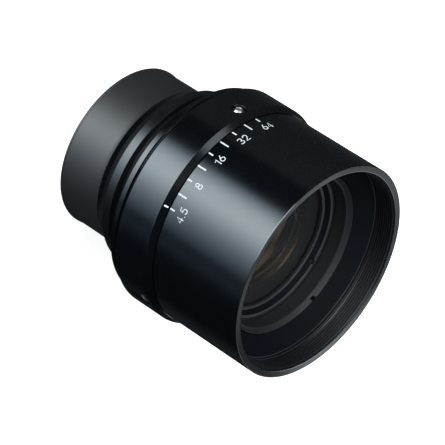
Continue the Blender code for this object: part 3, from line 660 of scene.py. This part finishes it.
dress("inner_barrel", barrel_black)


# The rear optical group. A matte black cell holds a cemented doublet behind the iris and the
# rear element under its lock ring. All of it is seen only through the rear mouth.
REAR_CELL_BODY_RADIUS = 19.1
REAR_CELL_FLANGE_START = 34.0
REAR_ELEMENT_BORE = 17.1
REAR_ELEMENT_SEAT = 15.4
DOUBLET_BORE = 14.5
DOUBLET_SEAT_LIP = 1.3
REAR_DOUBLET_SEAT = 39.2
REAR_ELEMENT_LEDGE = 1.7
REAR_LOCK_WIDTH = 0.85
REAR_LOCK_LIP_WIDTH = 1.3
MATTE_BLACK = (0.0100, 0.0112, 0.0128)
HOOD_BLACK = (0.0030, 0.0038, 0.0052)
# The land black is partly painted light: it is paler than the matte black to paint the sheen of flat
# lands that face the lamp.
LAND_BLACK_WITH_PAINTED_SHEEN = (0.028, 0.030, 0.033)
# The band black is paler than the matte black to paint the sheen of the retainer's lit bevelled face.
BAND_BLACK_WITH_PAINTED_SHEEN = (0.018, 0.0195, 0.021)
GLASS_STEPS = 128
GLASS_RINGS = 12
COATING_TINT = (0.62, 0.52, 0.43)
COATING_HAZE = 0.33
COATING_HAZE_ROUGHNESS = 0.5
COATING_NANOMETRES = 105.0
COATING_INDEX = 1.3
GLASS_INDEX = 1.52
GLASS_SMUDGE = 0.02
DOUBLET_TINT = (0.66, 0.56, 0.46)
FRONT_GLASS_BODY = (0.93, 0.92, 0.90)
DOUBLET_BODY = (0.92, 0.87, 0.80)
# Each glass: clear radius, start and end of its rim, radii of its front and of its rear face.
REAR_DOUBLET = (13.0, 39.4, 42.2, -34.0, -46.0)
REAR_ELEMENT = (15.6, 12.6, 15.2, 95.0, -62.0)

matte_black = anodised(
    "matte black anodising", MATTE_BLACK, 0.5, 0.5, rings=3.0, groove=0.01, smudge=0.06, dust=0.01
)
hood_paint = anodised("matt hood paint", HOOD_BLACK, 0.62, 0.06, rings=2.0, groove=0.01)
# A satin finish for flat lands, whose paler colour is painted sheen.
satin_land_with_painted_sheen = anodised("satin black land with painted sheen", LAND_BLACK_WITH_PAINTED_SHEEN, 0.4, 0.9, rings=5.0, groove=0.004)
# A satin finish for the retainer's bevel, whose paler colour is painted sheen.
satin_band_with_painted_sheen = anodised("satin black band with painted sheen", BAND_BLACK_WITH_PAINTED_SHEEN, 0.45, 0.5, rings=5.0, groove=0.004)


def coated_glass(name, tint, body):
    """Optical glass with a thin coating, which turns its reflections amber."""
    made, tree, shader = blank_material(name)
    use = wired(
        tree, "ShaderNodeGroup", {"Smudge size": 6.0, "Speck density": 0.3}, node_tree=handling_marks
    )
    fed(tree, shader, {
        "Roughness": between(tree, use.outputs["Smudges"], 0.0, GLASS_SMUDGE), "IOR": GLASS_INDEX,
        "Base Color": (*body, 1.0), "Transmission Weight": 1.0, "Specular Tint": (*tint, 1.0),
        "Coat Weight": COATING_HAZE, "Coat Roughness": COATING_HAZE_ROUGHNESS,
        "Thin Film Thickness": COATING_NANOMETRES, "Thin Film IOR": COATING_INDEX,
    })
    return made


def lens_curve(radius, vertex, curvature, outwards):
    """Corners along a spherical face between the axis and its rim, in either order."""
    steps = range(GLASS_RINGS + 1) if outwards else range(GLASS_RINGS, -1, -1)
    corners = []
    for step in steps:
        reach = radius * step / GLASS_RINGS
        sag = abs(curvature) - math.sqrt(curvature**2 - reach**2)
        corners.append((reach, vertex - math.copysign(sag, curvature), 0))
    return corners


def lens_element(node, clear, rim_start, rim_end, front, rear, surface):
    """A polished element with ground edges, in the space of its CAD node."""
    radius = span(node)[0]
    front_sag, rear_sag = (
        math.copysign(abs(face) - math.sqrt(face**2 - clear**2), face) for face in (front, rear)
    )
    piece = turned(node + "_glass", [
        *lens_curve(clear, rim_end + front_sag, front, True),
        (radius, rim_end, 0.15),
        (radius, rim_start, 0.15),
        *lens_curve(clear, rim_start + rear_sag, rear, False),
    ], surface, GLASS_STEPS)
    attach(piece, "lens_body")
    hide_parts(node)


front_coating = coated_glass("amber coated glass", COATING_TINT, FRONT_GLASS_BODY)
inner_coating = coated_glass("russet coated glass", DOUBLET_TINT, DOUBLET_BODY)
cell_flange_radius, rear_cell_start, rear_cell_end = span("rear_cell")
rear_cell = turned("rear_optical_cell", [
    (cell_flange_radius, rear_cell_end, 0.2),
    (cell_flange_radius, REAR_CELL_FLANGE_START, 0.2),
    (REAR_CELL_BODY_RADIUS, REAR_CELL_FLANGE_START, 0),
    (REAR_CELL_BODY_RADIUS, rear_cell_start, 0.3),
    (REAR_ELEMENT_BORE, rear_cell_start, 0.3),
    (REAR_ELEMENT_BORE, REAR_ELEMENT_SEAT, 0),
    (DOUBLET_BORE, REAR_ELEMENT_SEAT + REAR_ELEMENT_LEDGE, 0.1),
    (DOUBLET_BORE - DOUBLET_SEAT_LIP, REAR_DOUBLET_SEAT, 0.05),
    (DOUBLET_BORE, REAR_DOUBLET_SEAT, 0),
    (DOUBLET_BORE, rear_cell_end, 0.15),
], matte_black)
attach(rear_cell, "lens_body")
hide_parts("rear_cell")
lock_radius, lock_start, lock_end = span("rear_retaining_ring")
rear_lock = turned("rear_lock_ring", [
    (lock_radius, lock_end, 0.05),
    (lock_radius, lock_start, 0.1),
    (lock_radius - REAR_LOCK_WIDTH, lock_start, 0.1),
    (lock_radius - REAR_LOCK_LIP_WIDTH, lock_end, 0.05),
], matte_black)
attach(rear_lock, "lens_body")
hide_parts("rear_retaining_ring")
lens_element("rear_doublet", *REAR_DOUBLET, inner_coating)
lens_element("rear_element", *REAR_ELEMENT, front_coating)


# The iris. Eight blued steel blades swing on a black base plate, driven by the spiral slots of a
# brass cam ring under a black cover. The drive pin joins the cam ring to the aperture ring.
BLADE_COUNT = 8
BLUED_STEEL = (0.035, 0.038, 0.05)
BRASS = (0.74, 0.50, 0.20)

blade_steel = machined_metal("blued spring steel", BLUED_STEEL, 0.38, rings=9.0, groove=0.002)
turned_brass = machined_metal("turned brass", BRASS, 0.28, rings=4.0, groove=0.006)
for number in range(BLADE_COUNT):
    dress(f"iris_blade_{number + 1}", blade_steel)
dress("iris_cam_ring", turned_brass)
dress("drive_pin", bright_steel)
for node in ("iris_base_plate", "iris_cover_ring"):
    dress(node, matte_black)


# The front optical group. The matte black cell screws into the barrel from the front. It holds
# a cemented doublet at its nose and the large front element under a stepped lock ring.
FRONT_CELL_FLOOR = 51.06
FRONT_CELL_NOSE_RADIUS = 16.2
FRONT_ELEMENT_BORE = 22.0
FRONT_ELEMENT_SEAT = 52.36
FRONT_ELEMENT_LEDGE = 2.6
FRONT_DOUBLET_LIP = 0.65
FRONT_CLEAR_RADIUS = 19.2
FRONT_DOUBLET = (13.0, 48.81, 51.81, 46.0, 34.0)
FRONT_ELEMENT = (FRONT_CLEAR_RADIUS, 52.56, 54.56, 80.0, 130.0)
LOCK_FACE_WIDTH = 0.85
LOCK_LIP_LENGTH = 0.95
NOTCH_WIDTH = 1.2
NOTCH_DEPTH = 0.8
NOTCH_AZIMUTH = 81.0

front_cell_radius, nose_start, front_cell_end = span("front_cell")
front_cell = turned("front_optical_cell", [
    (front_cell_radius, front_cell_end, 0.1),
    (front_cell_radius, FRONT_CELL_FLOOR, 0.1),
    (FRONT_CELL_NOSE_RADIUS, FRONT_CELL_FLOOR, 0),
    (FRONT_CELL_NOSE_RADIUS, nose_start, 0.1),
    (DOUBLET_BORE - DOUBLET_SEAT_LIP, nose_start, 0.05),
    (DOUBLET_BORE - DOUBLET_SEAT_LIP, nose_start + FRONT_DOUBLET_LIP, 0.05),
    (DOUBLET_BORE, nose_start + FRONT_DOUBLET_LIP, 0),
    (DOUBLET_BORE, FRONT_ELEMENT_SEAT - FRONT_DOUBLET_LIP, 0.05),
    (FRONT_ELEMENT_BORE - FRONT_ELEMENT_LEDGE, FRONT_ELEMENT_SEAT, 0),
    (FRONT_ELEMENT_BORE, FRONT_ELEMENT_SEAT, 0),
    (FRONT_ELEMENT_BORE, front_cell_end, 0.1),
], matte_black)
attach(front_cell, "lens_body")
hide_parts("front_cell")
lens_element("front_doublet", *FRONT_DOUBLET, inner_coating)
lens_element("front_element", *FRONT_ELEMENT, front_coating)


def cut_across(ring, name, width, depth, azimuth, inner, outer, top):
    """Cuts two opposite slots of this depth across the top of a ring, between two radii."""
    tools = []
    for number in range(2):
        bm = bmesh.new()
        bmesh.ops.create_cube(bm, size=1.0)
        bmesh.ops.scale(bm, vec=(outer - inner, width, depth + CUT_OVERRUN), verts=bm.verts)
        middle = ((outer + inner) / 2, 0, top + (CUT_OVERRUN - depth) / 2)
        bmesh.ops.translate(bm, vec=middle, verts=bm.verts)
        bm.transform(Matrix.Rotation(math.radians(azimuth + 180 * number), 4, "Z"))
        tools.append(finished(f"{name}_{number}", bm, matte_black))
    cut(ring, tools)


lock_radius, lock_start, lock_end = span("front_retaining_ring")
land = lock_start + LOCK_LIP_LENGTH
cone_inner = FRONT_CLEAR_RADIUS + LOCK_FACE_WIDTH
cone_outer = lock_radius - LOCK_FACE_WIDTH
front_lock = turned("front_lock_ring", [
    (lock_radius, lock_end, 0.08),
    (lock_radius, lock_start, 0.05),
    (FRONT_CLEAR_RADIUS, lock_start, 0.05),
    (FRONT_CLEAR_RADIUS, land, 0.08),
    (cone_inner, land, 0),
    (cone_outer, lock_end, 0.08),
], matte_black)
coat(front_lock, hood_paint, cone_inner, cone_outer, land + COAT_MARGIN, lock_end - COAT_MARGIN)
# The lock ring's flat lands get the satin finish, whose paler colour is painted sheen.
for inner, outer, height in ((FRONT_CLEAR_RADIUS, cone_inner, land), (cone_outer, lock_radius, lock_end)):
    coat(front_lock, satin_land_with_painted_sheen, inner, outer, height - COAT_MARGIN, height + COAT_MARGIN)
cut_across(
    front_lock, "lock_notch", NOTCH_WIDTH, NOTCH_DEPTH, NOTCH_AZIMUTH,
    cone_outer - CUT_OVERRUN / 2, lock_radius + CUT_OVERRUN, lock_end,
)
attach(front_lock, "lens_body")
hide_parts("front_retaining_ring")


# The barrel retaining ring. A black ring screwed into the barrel's front, whose head keeps the
# aperture ring on. Two slots across its bevelled face take a pin spanner.
RETAINER_SHANK_RADIUS = 22.7
RETAINER_BORE_RADIUS = 22.1
RETAINER_HEAD_START = 61.2
RETAINER_CHAMFER_START = 61.45
RETAINER_STEP = 0.52
RETAINER_FACE_WIDTH = 0.08
SLOT_WIDTH = 1.1
SLOT_DEPTH = 1.0
SLOT_AZIMUTH = 60.7

retainer_radius, retainer_start, retainer_end = span("barrel_retaining_ring")
retainer = turned("barrel_retainer", [
    (retainer_radius, retainer_end, 0.08),
    (retainer_radius, RETAINER_HEAD_START, 0.1),
    (RETAINER_SHANK_RADIUS, RETAINER_HEAD_START, 0),
    (RETAINER_SHANK_RADIUS, retainer_start, 0.15),
    (RETAINER_BORE_RADIUS, retainer_start, 0.1),
    (RETAINER_BORE_RADIUS, RETAINER_CHAMFER_START, 0.05),
    (RETAINER_BORE_RADIUS + RETAINER_STEP, RETAINER_CHAMFER_START, 0.03),
    (retainer_radius - RETAINER_FACE_WIDTH, retainer_end, 0.05),
], matte_black)
# The bevelled face gets the satin band finish, whose paler colour is painted sheen.
coat(
    retainer, satin_band_with_painted_sheen, RETAINER_BORE_RADIUS + RETAINER_STEP, retainer_radius,
    RETAINER_CHAMFER_START, retainer_end,
)
cut_across(
    retainer, "spanner_slot", SLOT_WIDTH, SLOT_DEPTH, SLOT_AZIMUTH,
    RETAINER_BORE_RADIUS - CUT_OVERRUN, retainer_radius + CUT_OVERRUN, retainer_end,
)
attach(retainer, "lens_body")
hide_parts("barrel_retaining_ring")


# The aperture ring. The long outer sleeve that is turned by hand, polished and anodised black.
# Its mouth has the fine 58 mm filter thread, behind it a relief groove and the matt hood cone.
RING_CHAMFER = 0.13
RIM_DISH = 0.09
MOUTH_CHAMFER = 0.22
THREAD_BLACK = (0.0050, 0.0056, 0.0066)
RING_BORE_RADIUS = 27.7
RING_LIP_RADIUS = 23.0
RING_LIP_START = 59.9
RING_LIP_END = 60.9
RING_RECESS_RADIUS = 23.65
CONE_START = 62.6
CONE_END = 65.9
CONE_END_RADIUS = 28.5
RELIEF_END = 66.75
RELIEF_RADIUS = 28.72
FILTER_WALL_RADIUS = 28.95
FILTER_THREAD_DEPTH = 0.42
FILTER_THREAD_PITCH = 0.75
FILTER_THREAD_RUN_IN = 0.35
FILTER_THREAD_RUN_OUT = 0.45
STEP_MARGIN = 0.05

thread_black = anodised("thread black anodising", THREAD_BLACK, 0.36, 0.65, rings=5.0, groove=0.002)
ring_radius, ring_start, ring_end = span("aperture_ring")
aperture_ring = turned("aperture_sleeve", [
    (ring_radius - RING_CHAMFER, ring_end, 0.03),
    (ring_radius, ring_end - 0.8 * RING_CHAMFER, 0.03),
    (ring_radius, ring_start, 0.07),
    (RING_BORE_RADIUS, ring_start, 0.1),
    (RING_BORE_RADIUS, RING_LIP_START, 0),
    (RING_LIP_RADIUS, RING_LIP_START, 0),
    (RING_LIP_RADIUS, RING_LIP_END, 0),
    (RING_RECESS_RADIUS, RING_LIP_END, 0),
    (RING_RECESS_RADIUS, CONE_START, 0.06),
    (CONE_END_RADIUS, CONE_END, 0.06),
    (RELIEF_RADIUS, CONE_END, 0.03),
    (RELIEF_RADIUS, RELIEF_END, 0.03),
    (FILTER_WALL_RADIUS, RELIEF_END, 0.03),
    (FILTER_WALL_RADIUS, ring_end - MOUTH_CHAMFER, 0.04),
    (FILTER_WALL_RADIUS + MOUTH_CHAMFER, ring_end - RIM_DISH, 0.05),
], gloss_black, threads=[{
    "wall": FILTER_WALL_RADIUS, "depth": FILTER_THREAD_DEPTH, "pitch": FILTER_THREAD_PITCH,
    "start": RELIEF_END + FILTER_THREAD_RUN_IN, "end": ring_end - FILTER_THREAD_RUN_OUT,
}])
rim_black = anodised(
    "rim black anodising", GLOSS_BLACK, 0.075, 1.0, rings=2.0, groove=0.0003, smudge=0.02, index=1.8,
    tint=(1.0, 0.95, 0.91),
)
mouth_radius = FILTER_WALL_RADIUS + MOUTH_CHAMFER
coat(aperture_ring, hood_paint, 0.0, mouth_radius, ring_start, CONE_END - 0.01)
coat(aperture_ring, thread_black, 0.0, mouth_radius, CONE_END, ring_end - MOUTH_CHAMFER)
# The two flat steps in the mouth get the satin finish, whose paler colour paints their thin bright lines.
for inner, outer, height in (
    (CONE_END_RADIUS, RELIEF_RADIUS, CONE_END), (RELIEF_RADIUS, FILTER_WALL_RADIUS, RELIEF_END),
):
    coat(aperture_ring, satin_land_with_painted_sheen, inner, outer, height - STEP_MARGIN, height + STEP_MARGIN)
coat(aperture_ring, rim_black, mouth_radius, ring_radius - RING_CHAMFER, ring_end - RIM_DISH, ring_end)
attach(aperture_ring, "aperture_ring_group")
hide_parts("aperture_ring")


# The aperture scale. Nine engraved lines and five numbers round the rear edge of the aperture
# ring, filled with white paint. Whole stops have a number, and the lines between are longer.
SCALE_STEP = 8.06
LINE_COUNT = 9
LINE_WIDTH = 0.42
LINE_SETBACK = 0.04
SHORT_LINE = 1.5
LONG_LINE = 2.9
NUMBER_CENTRE = 46.95
NUMBER_HEIGHT = 2.1
STROKE_WIDTH = 0.26
LETTER_SPACE = 0.6
SCALE_NUMBERS = {0: "4.5", 2: "8", 4: "16", 6: "32", 8: "64"}


def build_scale_lines():
    """Lines along the axis at even angles, every other one long."""
    tree, given, result = geometry_group("scale lines", {
        "Count": ("Int", LINE_COUNT), "Step": ("Float", 0.0), "First azimuth": ("Float", 0.0),
        "Radius": ("Float", 0.0), "Depth": ("Float", 0.0), "Width": ("Float", 0.0),
        "Start": ("Float", 0.0), "Short length": ("Float", 0.0), "Long length": ("Float", 0.0),
        "Material": ("Material", None),
    })
    size = vector(tree, given.outputs["Depth"], given.outputs["Width"], 1.0)
    bar = wired(tree, "GeometryNodeMeshCube", {"Size": size})
    seat = vector(tree, given.outputs["Radius"], z=0.5)
    placed = wired(tree, "GeometryNodeTransform", {
        "Geometry": bar.outputs["Mesh"], "Translation": seat,
    })
    points = wired(
        tree, "GeometryNodeMeshLine", {"Count": given.outputs["Count"], "Offset": (0, 0, 0)}
    )
    raised = wired(tree, "GeometryNodeSetPosition", {
        "Geometry": points.outputs["Mesh"], "Offset": vector(tree, z=given.outputs["Start"]),
    })
    odd = arithmetic(tree, "MODULO", wired(tree, "GeometryNodeInputIndex").outputs[0], 2.0)
    length = between(tree, odd, given.outputs["Short length"], given.outputs["Long length"])
    return round_the_axis(
        tree, given, result, raised.outputs[0], placed.outputs[0], given.outputs["Step"],
        Scale=vector(tree, 1.0, 1.0, length),
    )


scale_lines = grown("scale_lines", build_scale_lines(), {
    "Count": LINE_COUNT, "Step": -math.radians(SCALE_STEP),
    "First azimuth": math.radians(MARK_AZIMUTH), "Radius": (ring_radius - PAINT_DEPTH / 2) * MM,
    "Depth": (PAINT_DEPTH + 2 * PAINT_PROUD) * MM, "Width": LINE_WIDTH * MM,
    "Start": (ring_start + LINE_SETBACK) * MM, "Short length": SHORT_LINE * MM,
    "Long length": LONG_LINE * MM, "Material": white_paint,
}, white_paint)
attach(scale_lines, "aperture_ring_group")


def bow(centre_x, centre_y, wide, high, start, end, steps=14):
    """Points along a stretch of an ellipse, for the round strokes of a figure."""
    points = []
    for step in range(steps + 1):
        angle = math.radians(start + (end - start) * step / steps)
        points.append((centre_x + wide * math.cos(angle), centre_y + high * math.sin(angle)))
    return points


# Each figure is its width and its strokes, one figure height tall, as a pantograph cuts them.
FIGURES = {
    "1": (0.30, [[(0.0, 0.78), (0.26, 1.0), (0.26, 0.0)]]),
    "2": (0.58, [[*bow(0.28, 0.70, 0.27, 0.30, 165, -38), (0.0, 0.0), (0.58, 0.0)]]),
    "3": (0.56, [bow(0.26, 0.75, 0.24, 0.25, 150, -90), bow(0.26, 0.25, 0.29, 0.25, 90, -150)]),
    "4": (0.62, [[(0.46, 0.0), (0.46, 1.0), (0.0, 0.27), (0.62, 0.27)]]),
    "5": (0.56, [[(0.52, 1.0), (0.10, 1.0), (0.05, 0.55), *bow(0.27, 0.31, 0.28, 0.31, 118, -145)]]),
    "6": (0.58, [[(0.40, 1.0), *bow(0.29, 0.30, 0.29, 0.30, 155, 515)]]),
    "8": (0.56, [bow(0.28, 0.75, 0.22, 0.25, -90, 270), bow(0.28, 0.26, 0.28, 0.26, 90, 450)]),
    ".": (0.06, [[(0.03, 0.0), (0.03, 0.03)]]),
}


def paint_stroke(bm, stroke, half_width):
    """One stroke of filling paint: a low bead with round ends, drawn flat in the XY plane."""
    path = [Vector((x, y, 0)) for x, y in stroke]
    first = (path[1] - path[0]).normalized()
    last = (path[-1] - path[-2]).normalized()
    beads = [(path[0] - first * half_width * math.cos(t), math.sin(t)) for t in (0.15, 0.6, 1.1)]
    beads += [(point, 1.0) for point in path]
    beads += [(path[-1] + last * half_width * math.cos(t), math.sin(t)) for t in (1.1, 0.6, 0.15)]
    before = None
    for number, (point, girth) in enumerate(beads):
        ahead = beads[min(number + 1, len(beads) - 1)][0] - beads[max(number - 1, 0)][0]
        side = Vector((-ahead.y, ahead.x, 0)).normalized() * half_width * girth
        crown = Vector((0, 0, PAINT_PROUD * (0.4 + 0.6 * girth)))
        sunk = Vector((0, 0, -PAINT_DEPTH / 2))
        section = [bm.verts.new(place) for place in (
            point + side + sunk, point + side, point + side * 0.7 + crown,
            point - side * 0.7 + crown, point - side, point - side + sunk,
        )]
        if before is None:
            bm.faces.new(section)
        else:
            for edge in range(6):
                other = (edge + 1) % 6
                bm.faces.new((before[edge], before[other], section[other], section[edge]))
        before = section
    bm.faces.new(before[::-1])


for line, number in SCALE_NUMBERS.items():
    bm = bmesh.new()
    cursor = 0.0
    for figure in number:
        width, strokes = FIGURES[figure]
        for stroke in strokes:
            shifted = [((cursor + x) * NUMBER_HEIGHT, y * NUMBER_HEIGHT) for x, y in stroke]
            paint_stroke(bm, shifted, STROKE_WIDTH / 2)
        cursor += width + LETTER_SPACE / NUMBER_HEIGHT
    middle = (cursor * NUMBER_HEIGHT - LETTER_SPACE) / 2
    for vertex in bm.verts:
        along = math.degrees((vertex.co.x - middle) / ring_radius)
        azimuth = MARK_AZIMUTH - SCALE_STEP * line - along
        height = NUMBER_CENTRE - (vertex.co.y - NUMBER_HEIGHT / 2)
        vertex.co = polar(ring_radius + vertex.co.z, azimuth, height)
    bmesh.ops.recalc_face_normals(bm, faces=bm.faces)
    painted_number = finished(f"scale_number_{number.replace('.', '_')}", bm, white_paint)
    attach(painted_number, "aperture_ring_group")


# The studio. A white floor and backdrop, a soft overhead lamp, and a feathered softbox that draws
# the broad highlight. Small panes of light give the rim its sheen. The rest of the room is dark,
# and only the backdrop behind the lens is mirrored, because a white room would grey the flanks.
FLOOR_SIZE = 3000.0
FLOOR_DROP = 0.05
FLOOR_GREY = 0.8
FLOOR_SHADE = 0.92
FLOOR_SHADE_START = 40.0
FLOOR_SHADE_END = 140.0
SOFTBOX_STRENGTH = 5.0
SOFTBOX_TINT = (0.81, 0.94, 1.0)
SOFTBOX_FADE = (1.0, 0.95, 0.89)
SOFTBOX_UPRIGHT = (-50.0, 12.0, 6.0)
SOFTBOX_PROFILE = {
    -138: 0.0, -133: 0.04, -128: 0.28, -123: 0.55, -118: 0.77, -113: 0.93, -103: 1.0, -93: 0.73,
    -83: 0.42, -73: 0.22, -63: 0.10, -54: 0.017, -43: 0.018, -34: 0.004, -26: 0.0,
}
FILL_PROFILE = {
    -180: 0.85, -169: 0.95, -163: 0.1, -158: 0.0, 22: 0.0, 32: 0.2, 50: 0.35, 62: 0.0, 90: 0.0,
    100: 0.6, 112: 0.45, 127: 0.40, 147: 0.52, 160: 0.72, 180: 0.85,
}
# Each weaker light: levels by azimuth, lowest and highest elevation, feather and strength.
WEAKER_LIGHTS = {
    "fill": (FILL_PROFILE, -60, 60, 8, 0.08),
    "side": ({-175: 0.0, -163: 1.0, -147: 1.0, -136: 0.0}, 14, 50, 4, 1.4),
    "back": ({30: 0.0, 50: 1.0, 100: 1.0, 120: 0.0}, 15, 55, 6, 0.05),
    "left pane": ({60: 0.0, 68: 1.0, 74: 1.0, 76.5: 0.0}, 20, 34.5, 2, 2.0),
    "right pane": ({77.8: 0.0, 79.6: 1.0, 84: 1.0, 88: 0.0}, 33.5, 41, 1.5, 5.0),
    "edge pane": ({75.8: 0.0, 76.4: 1.0, 76.9: 1.0, 77.4: 0.0}, 25.0, 26.4, 0.5, 3.6),
}
PLAIN_SHARE = 0.7
GLOSS_SURROUND = 0.008
BACKDROP_SPREAD = 8.0
BACKDROP_CORE = 5.6


def ramp(tree, factor, stops):
    """A colour ramp from places between 0 and 1 to colours."""
    node = wired(tree, "ShaderNodeValToRGB", {"Fac": factor})
    elements = node.color_ramp.elements
    while len(elements) > 1:
        elements.remove(elements[0])
    for number, (place, colour) in enumerate(stops):
        element = elements[0] if number == 0 else elements.new(place)
        element.position = place
        element.color = (*colour, 1)
    return node.outputs["Color"]


def sky_angles(tree):
    """Azimuth and elevation of the direction looked at, each spread over 0 to 1."""
    way = wired(tree, "ShaderNodeTexCoord").outputs["Generated"]
    x, y, z = wired(tree, "ShaderNodeSeparateXYZ", {0: way}).outputs
    spread = []
    for angle, limit in (
        (arithmetic(tree, "ARCTAN2", y, x), math.pi), (arithmetic(tree, "ARCSINE", z), math.pi / 2)
    ):
        values = {"Value": angle, "From Min": -limit, "From Max": limit}
        spread.append(wired(tree, "ShaderNodeMapRange", values).outputs["Result"])
    return spread


def across_sky(tree, azimuth, profile, tint=(1, 1, 1), fade=(1, 1, 1)):
    """A light's azimuth profile. Where it fades out, the fade's powers shift its colour."""
    return ramp(tree, azimuth, [
        ((heading + 180) / 360, [level**power * share for power, share in zip(fade, tint)])
        for heading, level in profile.items()
    ])


def up_sky(tree, elevation, low, high, feather, strength):
    """A light's strength between its two heights, with feathered edges."""
    stops = ((low - feather, 0), (low + feather, 1), (high - feather, 1), (high + feather, 0))
    upright = ramp(tree, elevation, [
        ((height + 90) / 180, (level, level, level)) for height, level in stops
    ])
    return arithmetic(tree, "MULTIPLY", upright, strength)


world = bpy.data.worlds.new("studio")
bpy.context.scene.world = world
world.use_nodes = True
sky = world.node_tree
sky.nodes.clear()
azimuth, elevation = sky_angles(sky)
key_colour = across_sky(sky, azimuth, SOFTBOX_PROFILE, SOFTBOX_TINT, SOFTBOX_FADE)
key_strength = up_sky(sky, elevation, *SOFTBOX_UPRIGHT, SOFTBOX_STRENGTH)
room = GLOSS_SURROUND
for profile, *upright in WEAKER_LIGHTS.values():
    light = arithmetic(
        sky, "MULTIPLY", across_sky(sky, azimuth, profile), up_sky(sky, elevation, *upright)
    )
    room = arithmetic(sky, "ADD", light, room)
path = wired(sky, "ShaderNodeLightPath").outputs
mirrored = arithmetic(sky, "MAXIMUM", path["Is Glossy Ray"], path["Is Transmission Ray"])
toward = wired(
    sky, "ShaderNodeVectorMath",
    {0: wired(sky, "ShaderNodeTexCoord").outputs["Generated"], 1: CAMERA_HEADING.normalized()},
    operation="DOT_PRODUCT",
)
behind = wired(sky, "ShaderNodeMapRange", {
    "Value": toward.outputs["Value"], "From Min": math.cos(math.radians(BACKDROP_SPREAD)),
    "From Max": math.cos(math.radians(BACKDROP_CORE)),
})
backdrop_mirrored = arithmetic(sky, "MULTIPLY", mirrored, behind.outputs["Result"])
seen = arithmetic(sky, "MAXIMUM", path["Is Camera Ray"], backdrop_mirrored)
share = between(sky, mirrored, PLAIN_SHARE, 1.0)
softbox, surround, backdrop = (
    wired(sky, "ShaderNodeBackground", {"Color": colour, "Strength": strength}).outputs[0]
    for colour, strength in (
        (key_colour, arithmetic(sky, "MULTIPLY", key_strength, share)),
        ((*SOFTBOX_TINT, 1), arithmetic(sky, "MULTIPLY", room, share)),
        ((1, 1, 1, 1), 1.0),
    )
)
studio_light = wired(sky, "ShaderNodeAddShader", {0: softbox, 1: surround})
both = wired(sky, "ShaderNodeMixShader", {0: seen, 1: studio_light.outputs[0], 2: backdrop})
wired(sky, "ShaderNodeOutputWorld", {"Surface": both.outputs[0]})

OVERHEAD_PLACE = (-193.0, -322.0, 706.0)
OVERHEAD_SIZE = 500.0
OVERHEAD_POWER = 7.0
OVERHEAD_TINT = (0.88, 0.95, 1.0)
overhead = added("overhead_lamp", bpy.data.lights.new("overhead_lamp", "AREA"))
overhead.data.size = OVERHEAD_SIZE * MM
overhead.data.energy = OVERHEAD_POWER
overhead.data.color = OVERHEAD_TINT
overhead.location = Vector(OVERHEAD_PLACE) * MM
overhead.rotation_euler = (-overhead.location).to_track_quat("-Z", "Y").to_euler()

bm = bmesh.new()
bmesh.ops.create_grid(bm, x_segments=1, y_segments=1, size=FLOOR_SIZE / 2)
bmesh.ops.translate(bm, vec=(0, 0, -FLOOR_DROP), verts=bm.verts)
floor_paint, tree, shader = blank_material("white floor")
place = wired(tree, "ShaderNodeTexCoord").outputs["Object"]
reach = wired(tree, "ShaderNodeVectorMath", {0: place}, operation="LENGTH")
# The floor's glow is dimmed near the lens, a painted shade round it, so that the lens's cast shadow
# shows.
away = wired(tree, "ShaderNodeMapRange", {
    "Value": reach.outputs["Value"], "From Min": FLOOR_SHADE_START * MM,
    "From Max": FLOOR_SHADE_END * MM, "To Min": FLOOR_SHADE, "To Max": 1.0,
})
camera_ray = wired(tree, "ShaderNodeLightPath").outputs["Is Camera Ray"]
fed(tree, shader, {
    "Base Color": (FLOOR_GREY, FLOOR_GREY, FLOOR_GREY, 1), "Roughness": 0.9,
    "Emission Color": (1, 1, 1, 1),
    "Emission Strength": arithmetic(tree, "MULTIPLY", away.outputs["Result"], camera_ray),
})
clear = wired(tree, "ShaderNodeBsdfTransparent")
geometry = wired(tree, "ShaderNodeNewGeometry")
one_sided = wired(tree, "ShaderNodeMixShader", {
    0: geometry.outputs["Backfacing"], 1: shader.outputs[0], 2: clear.outputs[0],
})
tree.links.new(one_sided.outputs[0], tree.nodes["Material Output"].inputs["Surface"])
floor = finished("floor", bm, floor_paint)
floor.visible_glossy = False
floor.visible_shadow = False

bpy.context.scene.view_settings.view_transform = "Standard"
